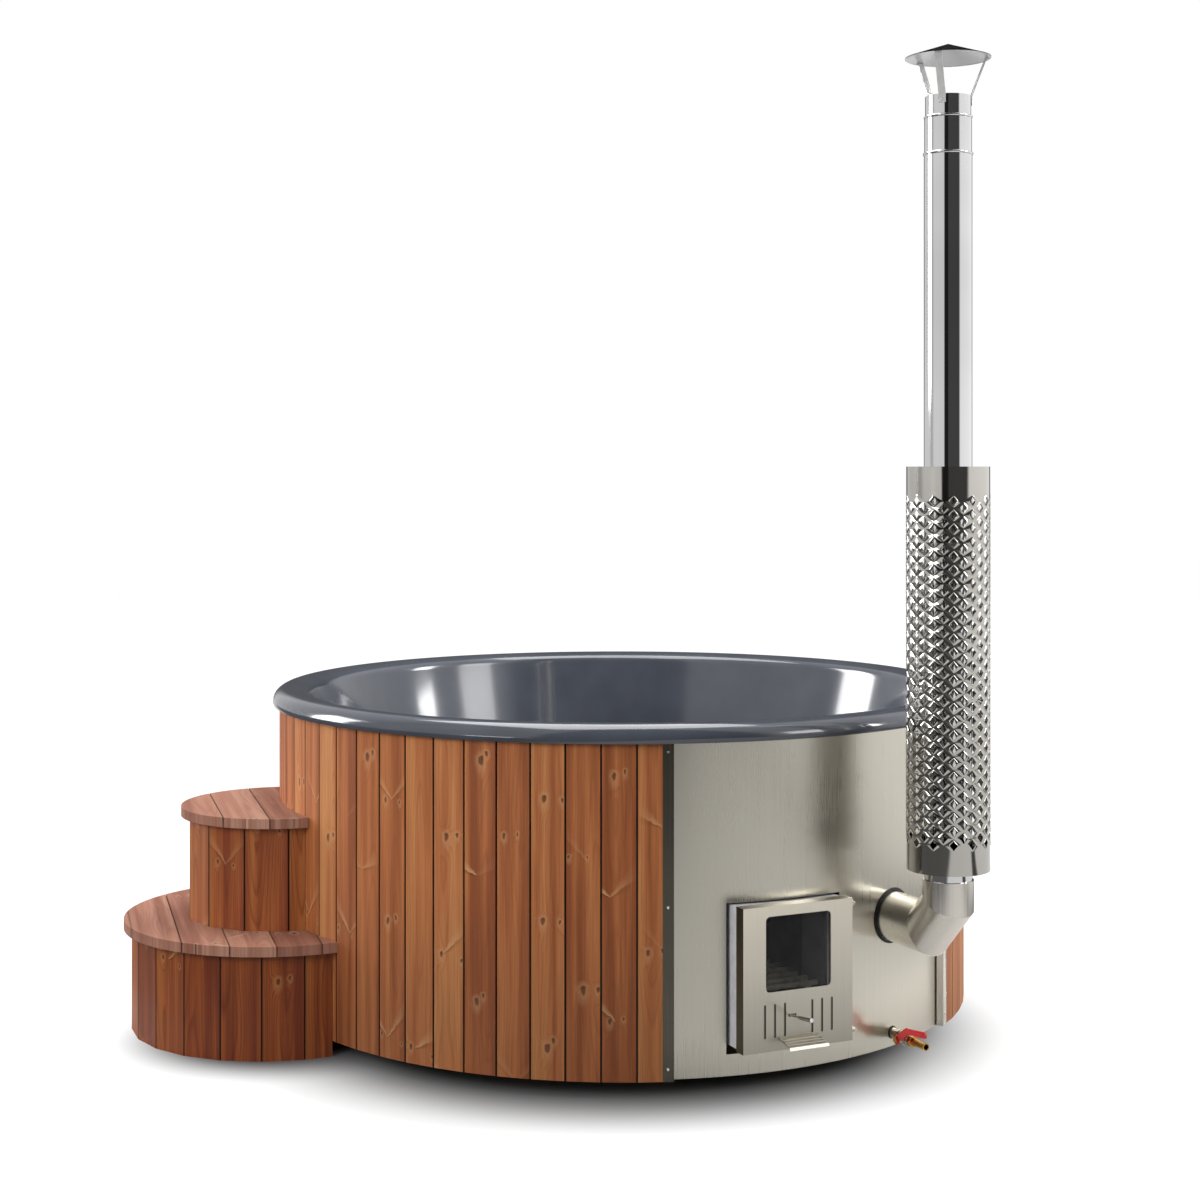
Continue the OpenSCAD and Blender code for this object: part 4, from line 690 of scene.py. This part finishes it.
# %% The tree that lays out and rolls the sheet
def guard_tree():
    tree = bpy.data.node_groups.new("Perforated guard", "GeometryNodeTree")
    for name, kind in (("Cell", "Object"), ("Upper end", "Object"), ("Lower end", "Object"),
                       ("Columns", "Int"), ("Rows", "Int"), ("Column pitch", "Float"),
                       ("Row pitch", "Float"), ("Lowest point", "Float"), ("Radius", "Float"),
                       ("Sheet", "Float"), ("Axis", "Vector"), ("Finish", "Material")):
        tree.interface.new_socket(name, in_out="INPUT", socket_type="NodeSocket" + kind)
    tree.interface.new_socket("Geometry", in_out="OUTPUT", socket_type="NodeSocketGeometry")
    start = add(tree, "NodeGroupInput").outputs

    # Holes: point number, column and row; every second column is half a row higher
    index = add(tree, "GeometryNodeInputIndex")
    column = add(tree, "ShaderNodeMath", {0: index, 1: start["Columns"]},
                 operation="FLOORED_MODULO")
    row = add(tree, "ShaderNodeMath", {0: index, 1: start["Columns"]}, operation="DIVIDE")
    row = add(tree, "ShaderNodeMath", {0: row}, operation="FLOOR")
    odd = add(tree, "ShaderNodeMath", {0: column, 1: 2.0}, operation="FLOORED_MODULO")
    x = add(tree, "ShaderNodeMath", {0: column, 1: start["Column pitch"]}, operation="MULTIPLY")
    level = add(tree, "ShaderNodeMath", {0: odd, 1: 0.5, 2: row}, operation="MULTIPLY_ADD")
    level = add(tree, "ShaderNodeMath", {0: level, 1: 0.5}, operation="ADD")
    z = add(tree, "ShaderNodeMath",
            {0: level, 1: start["Row pitch"], 2: start["Lowest point"]}, operation="MULTIPLY_ADD")
    total = add(tree, "ShaderNodeMath", {0: start["Columns"], 1: start["Rows"]},
                operation="MULTIPLY")
    place = add(tree, "ShaderNodeCombineXYZ", {"X": x, "Z": z})
    spots = add(tree, "GeometryNodePoints", {"Count": total, "Position": place})
    # The higher columns have one hole less
    top = add(tree, "ShaderNodeMath", {0: start["Rows"], 1: 1.5}, operation="SUBTRACT")
    top = add(tree, "ShaderNodeMath", {0: row, 1: top}, operation="GREATER_THAN")
    spare = add(tree, "ShaderNodeMath", {0: top, 1: odd}, operation="MULTIPLY")
    spots = add(tree, "GeometryNodeDeleteGeometry", {"Geometry": spots, "Selection": spare},
                domain="POINT")
    spots_of = {"Cell": spots}
    # Plain ends: one piece on every second column
    half = add(tree, "ShaderNodeMath", {0: start["Columns"], 1: 2.0}, operation="DIVIDE")
    x = add(tree, "ShaderNodeMath", {0: index, 1: 2.0, 2: 1.0}, operation="MULTIPLY_ADD")
    x = add(tree, "ShaderNodeMath", {0: x, 1: start["Column pitch"]}, operation="MULTIPLY")
    for name, level in (("Upper end", start["Rows"]), ("Lower end", 0.0)):
        z = add(tree, "ShaderNodeMath",
                {0: level, 1: start["Row pitch"], 2: start["Lowest point"]},
                operation="MULTIPLY_ADD")
        place = add(tree, "ShaderNodeCombineXYZ", {"X": x, "Z": z})
        spots_of[name] = add(tree, "GeometryNodePoints", {"Count": half, "Position": place})
    flat = add(tree, "GeometryNodeJoinGeometry")
    for name, spots in spots_of.items():
        shape = add(tree, "GeometryNodeObjectInfo", {"Object": start[name]})
        layer = add(tree, "GeometryNodeInstanceOnPoints",
                    {"Points": spots, "Instance": shape.outputs["Geometry"]})
        connect(tree, flat, {0: layer})
    flat = add(tree, "GeometryNodeRealizeInstances", {"Geometry": flat})

    # Roll: the place along X becomes an angle, and the lift grows the radius
    spot = add(tree, "ShaderNodeSeparateXYZ", {0: add(tree, "GeometryNodeInputPosition")}).outputs
    angle = add(tree, "ShaderNodeMath", {0: spot["X"], 1: start["Radius"]}, operation="DIVIDE")
    front = add(tree, "ShaderNodeMath", {0: spot["Y"], 1: start["Radius"]}, operation="SUBTRACT")
    front = add(tree, "ShaderNodeCombineXYZ", {"Y": front, "Z": spot["Z"]})
    rolled = add(tree, "ShaderNodeVectorRotate", {"Vector": front, "Angle": angle},
                 rotation_type="Z_AXIS")
    rolled = add(tree, "ShaderNodeVectorMath", {0: rolled, 1: start["Axis"]}, operation="ADD")
    tube = add(tree, "GeometryNodeSetPosition", {"Geometry": flat, "Position": rolled})
    tube = add(tree, "GeometryNodeMergeByDistance", {"Geometry": tube, "Distance": 0.05 * mm})

    # Thickness: a copy pushed inwards, with its sides, and the outer face turned to close it
    inwards = add(tree, "ShaderNodeMath", {0: start["Sheet"], 1: -1.0}, operation="MULTIPLY")
    inner = add(tree, "GeometryNodeExtrudeMesh",
                {"Mesh": tube, "Offset Scale": inwards, "Individual": False}, mode="FACES")
    outer = add(tree, "GeometryNodeFlipFaces", {"Mesh": tube})
    wall = add(tree, "GeometryNodeJoinGeometry")
    for side in (inner, outer):
        connect(tree, wall, {0: side})
    wall = add(tree, "GeometryNodeMergeByDistance", {"Geometry": wall, "Distance": 0.01 * mm})
    wall = add(tree, "GeometryNodeRealizeInstances", {"Geometry": wall})
    wall = add(tree, "GeometryNodeSetMaterial", {"Geometry": wall, "Material": start["Finish"]})
    add(tree, "NodeGroupOutput", {0: wall})
    return tree


sharp_angle = math.radians(40)


def grown(name, tree, values, body):
    """Runs a Geometry Nodes tree and keeps its result as a plain mesh that rides on a body."""
    holder = bpy.data.objects.new(name + "_source", bpy.data.meshes.new(name + "_source"))
    bpy.context.scene.collection.objects.link(holder)
    modifier = holder.modifiers.new("Grow", "NODES")
    modifier.node_group = tree
    for item in tree.interface.items_tree:
        if item.in_out == "INPUT" and item.name in values:
            modifier[item.identifier] = values[item.name]
    graph = bpy.context.evaluated_depsgraph_get()
    data = bpy.data.meshes.new_from_object(holder.evaluated_get(graph))
    data.name = name
    bpy.data.objects.remove(holder)
    piece = bpy.data.objects.new(name, data)
    bpy.context.scene.collection.objects.link(piece)
    piece.data.shade_smooth()
    piece.data.set_sharp_from_angle(angle=sharp_angle)
    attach(piece, body)
    return piece


guard = grown("guard_sheet", guard_tree(),
              {"Cell": cell, "Upper end": ends["Upper end"], "Lower end": ends["Lower end"],
               "Columns": columns, "Rows": rows, "Column pitch": column_pitch,
               "Row pitch": row_pitch, "Lowest point": pattern_low, "Radius": base_radius,
               "Sheet": sheet, "Axis": (guard_x, guard_y, 0), "Finish": guard_steel},
              "tub")
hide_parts("heat_guard")
print("guard has", len(guard.data.polygons), "faces")

# %% [markdown]
# ## Studio
# The tub stands on white paper. The camera is level, 1.5 m above the floor and about 5.8 m away,
# and its picture is shifted down so that the chimney stays upright.

# %% Camera
photo_size = 1200
picture_shift = -131
camera_place = (-2.56, -5.249, 1.525)
camera_bearing = math.radians(-25.4)
focal_length = 60.24
camera = bpy.data.objects.new("Camera", bpy.data.cameras.new("Camera"))
bpy.context.scene.collection.objects.link(camera)
camera.data.sensor_width = 36
camera.data.lens = focal_length
camera.data.shift_y = picture_shift / photo_size
camera.location = camera_place
camera.rotation_euler = (math.radians(90), 0, camera_bearing)
bpy.context.scene.camera = camera

# %% [markdown]
# The paper glows pure white to the camera, except for a narrow shadow on the photo's side of the
# tub. To the boards it is darker, so that little light comes back from it, and the steel mirrors a
# strip of lit paper in a dark room.

# %% Floor
half_side = 14
lit_paper_starts = 1.6
floor_data = bpy.data.meshes.new("floor")
corners = [(x * half_side, y * half_side, 0) for x, y in ((-1, -1), (1, -1), (1, 1), (-1, 1))]
floor_data.from_pydata(corners, [], [(0, 1, 2, 3)])
floor = bpy.data.objects.new("floor", floor_data)
bpy.context.scene.collection.objects.link(floor)
paper, tree, shader = finish("White paper", Roughness=0.9)
path = add(tree, "ShaderNodeLightPath").outputs
place = add(tree, "ShaderNodeTexCoord").outputs["Object"]
# The boards darken downwards over dark paint; only the steel mirrors a bright one
paint = add(tree, "ShaderNodeMix",
            {0: path["Is Glossy Ray"], 6: srgb("#525252"), 7: srgb("#D2D2D2")}, data_type="RGBA")
away = add(tree, "ShaderNodeVectorMath", {0: place}, operation="LENGTH").outputs["Value"]
# Away from three spots under the tub and the steps the paper glows; each has its place and how far
# from it the glow starts and is whole
clear = path["Is Camera Ray"]
for spot, dark, bright in (((-0.02, -0.31, 0), 0.56, 1.02), ((-0.25, -0.2, 0), 0.56, 1.04),
                           (step_centre + Vector((-0.06, -0.14, 0)), 0.22, 0.47)):
    gap = add(tree, "ShaderNodeVectorMath", {0: place, 1: spot}, operation="SUBTRACT")
    gap = add(tree, "ShaderNodeVectorMath", {0: gap}, operation="LENGTH").outputs["Value"]
    glow = add(tree, "ShaderNodeMapRange", {"Value": gap, "From Min": dark, "From Max": bright},
               interpolation_type="SMOOTHSTEP")
    clear = add(tree, "ShaderNodeMath", {0: clear, 1: glow}, operation="MULTIPLY")
connect(tree, shader, {"Base Color": paint, "Emission Color": (1, 1, 1, 1),
                       "Emission Strength": clear})
# What the mirrors see: a strip of lit paper in front of the tub and the dark room beside it
across = add(tree, "ShaderNodeSeparateXYZ", {0: place}).outputs["X"]
across = add(tree, "ShaderNodeMapRange", {"Value": across, "From Min": -5.0, "From Max": 5.0})
room = add(tree, "ShaderNodeValToRGB", {"Fac": across},
           stops=[(0.0, 0.1), (0.35, 0.14), (0.39, 0.8), (0.68, 0.85), (0.70, 0.08), (0.745, 0.1),
                  (0.76, 0.9), (1.0, 0.9)])
strip = add(tree, "ShaderNodeEmission", {"Color": room})
far = add(tree, "ShaderNodeMath", {0: away, 1: lit_paper_starts}, operation="GREATER_THAN")
far = add(tree, "ShaderNodeMath", {0: far, 1: path["Is Glossy Ray"]}, operation="MULTIPLY")
surface = add(tree, "ShaderNodeMixShader", {0: far, 1: shader, 2: strip})
connect(tree, tree.nodes["Material Output"], {"Surface": surface})
floor_data.materials.append(paper)

# %% [markdown]
# The world is white for the camera. What mirrors see is a studio all round: bright screens with
# dark gaps between them, which draw the upright stripes on the polished tube, and three brighter
# windows higher up, which draw the white patches on the liner's inner wall. Lamps stand to the left,
# to the right, behind and overhead. Mirrors see only the low one at the left and the overhead one.

# %% World and lamps
window_strength = 20.0
world = bpy.data.worlds.new("Studio")
bpy.context.scene.world = world
world.use_nodes = True
tree = world.node_tree
tree.nodes.clear()
path = add(tree, "ShaderNodeLightPath").outputs
way = add(tree, "ShaderNodeSeparateXYZ", {0: add(tree, "ShaderNodeTexCoord").outputs["Generated"]})
bearing = add(tree, "ShaderNodeMath", {0: way.outputs["X"], 1: way.outputs["Y"]},
              operation="ARCTAN2")
bearing = add(tree, "ShaderNodeMath", {0: bearing, 1: 1 / math.tau, 2: 0.5},
              operation="MULTIPLY_ADD")

# Bearing 0.0 and 1.0 look along -Y, 0.25 along -X, 0.5 along +Y and 0.75 along +X
screens = add(tree, "ShaderNodeValToRGB", {"Fac": bearing},
              stops=[(0.0, 0.065), (0.09, 0.065), (0.10, 0.013), (0.143, 0.015), (0.152, 0.78),
                     (0.29, 0.82), (0.33, 0.5), (0.38, 0.8), (0.51, 0.8), (0.53, 0.08),
                     (0.655, 0.08), (0.68, 1.0), (0.70, 1.15), (0.93, 1.0), (0.95, 0.06),
                     (1.0, 0.065)])
# Brighter windows higher up, between two heights
windows = add(tree, "ShaderNodeValToRGB", {"Fac": bearing},
              stops=[(0.345, 0.0), (0.348, 0.7), (0.395, 0.7), (0.398, 0.0), (0.817, 0.0),
                     (0.820, 1.0), (0.841, 1.0), (0.844, 0.0), (0.878, 0.0), (0.881, 0.33),
                     (0.919, 0.33), (0.922, 0.0)])
# The window at the rear left reaches further down
reach = add(tree, "ShaderNodeMath", {0: bearing, 1: 0.5}, operation="LESS_THAN")
reach = add(tree, "ShaderNodeMath", {0: reach, 1: 0.17, 2: way.outputs["Z"]},
            operation="MULTIPLY_ADD")
low = add(tree, "ShaderNodeMapRange", {"Value": reach, "From Min": 0.20, "From Max": 0.22})
high = add(tree, "ShaderNodeMapRange", {"Value": way.outputs["Z"], "From Min": 0.52,
                                       "From Max": 0.42})
for factor in (low, high, window_strength):
    windows = add(tree, "ShaderNodeMath", {0: windows, 1: factor}, operation="MULTIPLY")
screens = add(tree, "ShaderNodeVectorMath", {0: screens, 1: windows}, operation="ADD")
soft = add(tree, "ShaderNodeMix", {0: path["Is Glossy Ray"], 6: (0.5, 0.5, 0.5, 1), 7: screens},
           data_type="RGBA")
white = add(tree, "ShaderNodeMath", {0: path["Is Camera Ray"], 1: path["Is Transmission Ray"]},
            operation="MAXIMUM")
colour = add(tree, "ShaderNodeMix", {0: white, 6: soft, 7: (1, 1, 1, 1)}, data_type="RGBA")
sky = add(tree, "ShaderNodeBackground", {"Color": colour, "Strength": 1.0})
add(tree, "ShaderNodeOutputWorld", {"Surface": sky})

seen_in_mirrors = ("low left box", "overhead box")
for name, place, target, size, power in (
        ("left box", (-5.0, -2.6, 3.0), (0, 0, 0.5), (2.2, 2.2), 120),
        ("low left box", (-4.6, -2.3, 1.0), (-0.9, -0.2, 0.9), (1.3, 0.5), 14),
        ("right strip", (3.6, -1.3, 1.85), (-0.3, 0.83, 0.8), (0.7, 1.7), 75),
        ("right screen", (2.55, -2.75, 2.15), (-0.1, 0.86, 0.8), (1.15, 1.5), 36),
        ("rear left box", (-2.3, 3.2, 1.7), (0.88, 0.1, 0.8), (1.4, 1.3), 80),
        ("overhead box", (0.0, 0.6, 4.6), (0, 0, 0), (3.2, 3.2), 170)):
    lamp = bpy.data.objects.new(name, bpy.data.lights.new(name, "AREA"))
    bpy.context.scene.collection.objects.link(lamp)
    lamp.data.shape = "RECTANGLE"
    lamp.data.size, lamp.data.size_y = size
    lamp.data.energy = power
    lamp.location = place
    lamp.visible_glossy = name in seen_in_mirrors
    lamp.rotation_euler = (Vector(target) - Vector(place)).to_track_quat("-Z", "Y").to_euler()
bpy.context.scene.view_settings.view_transform = "Standard"
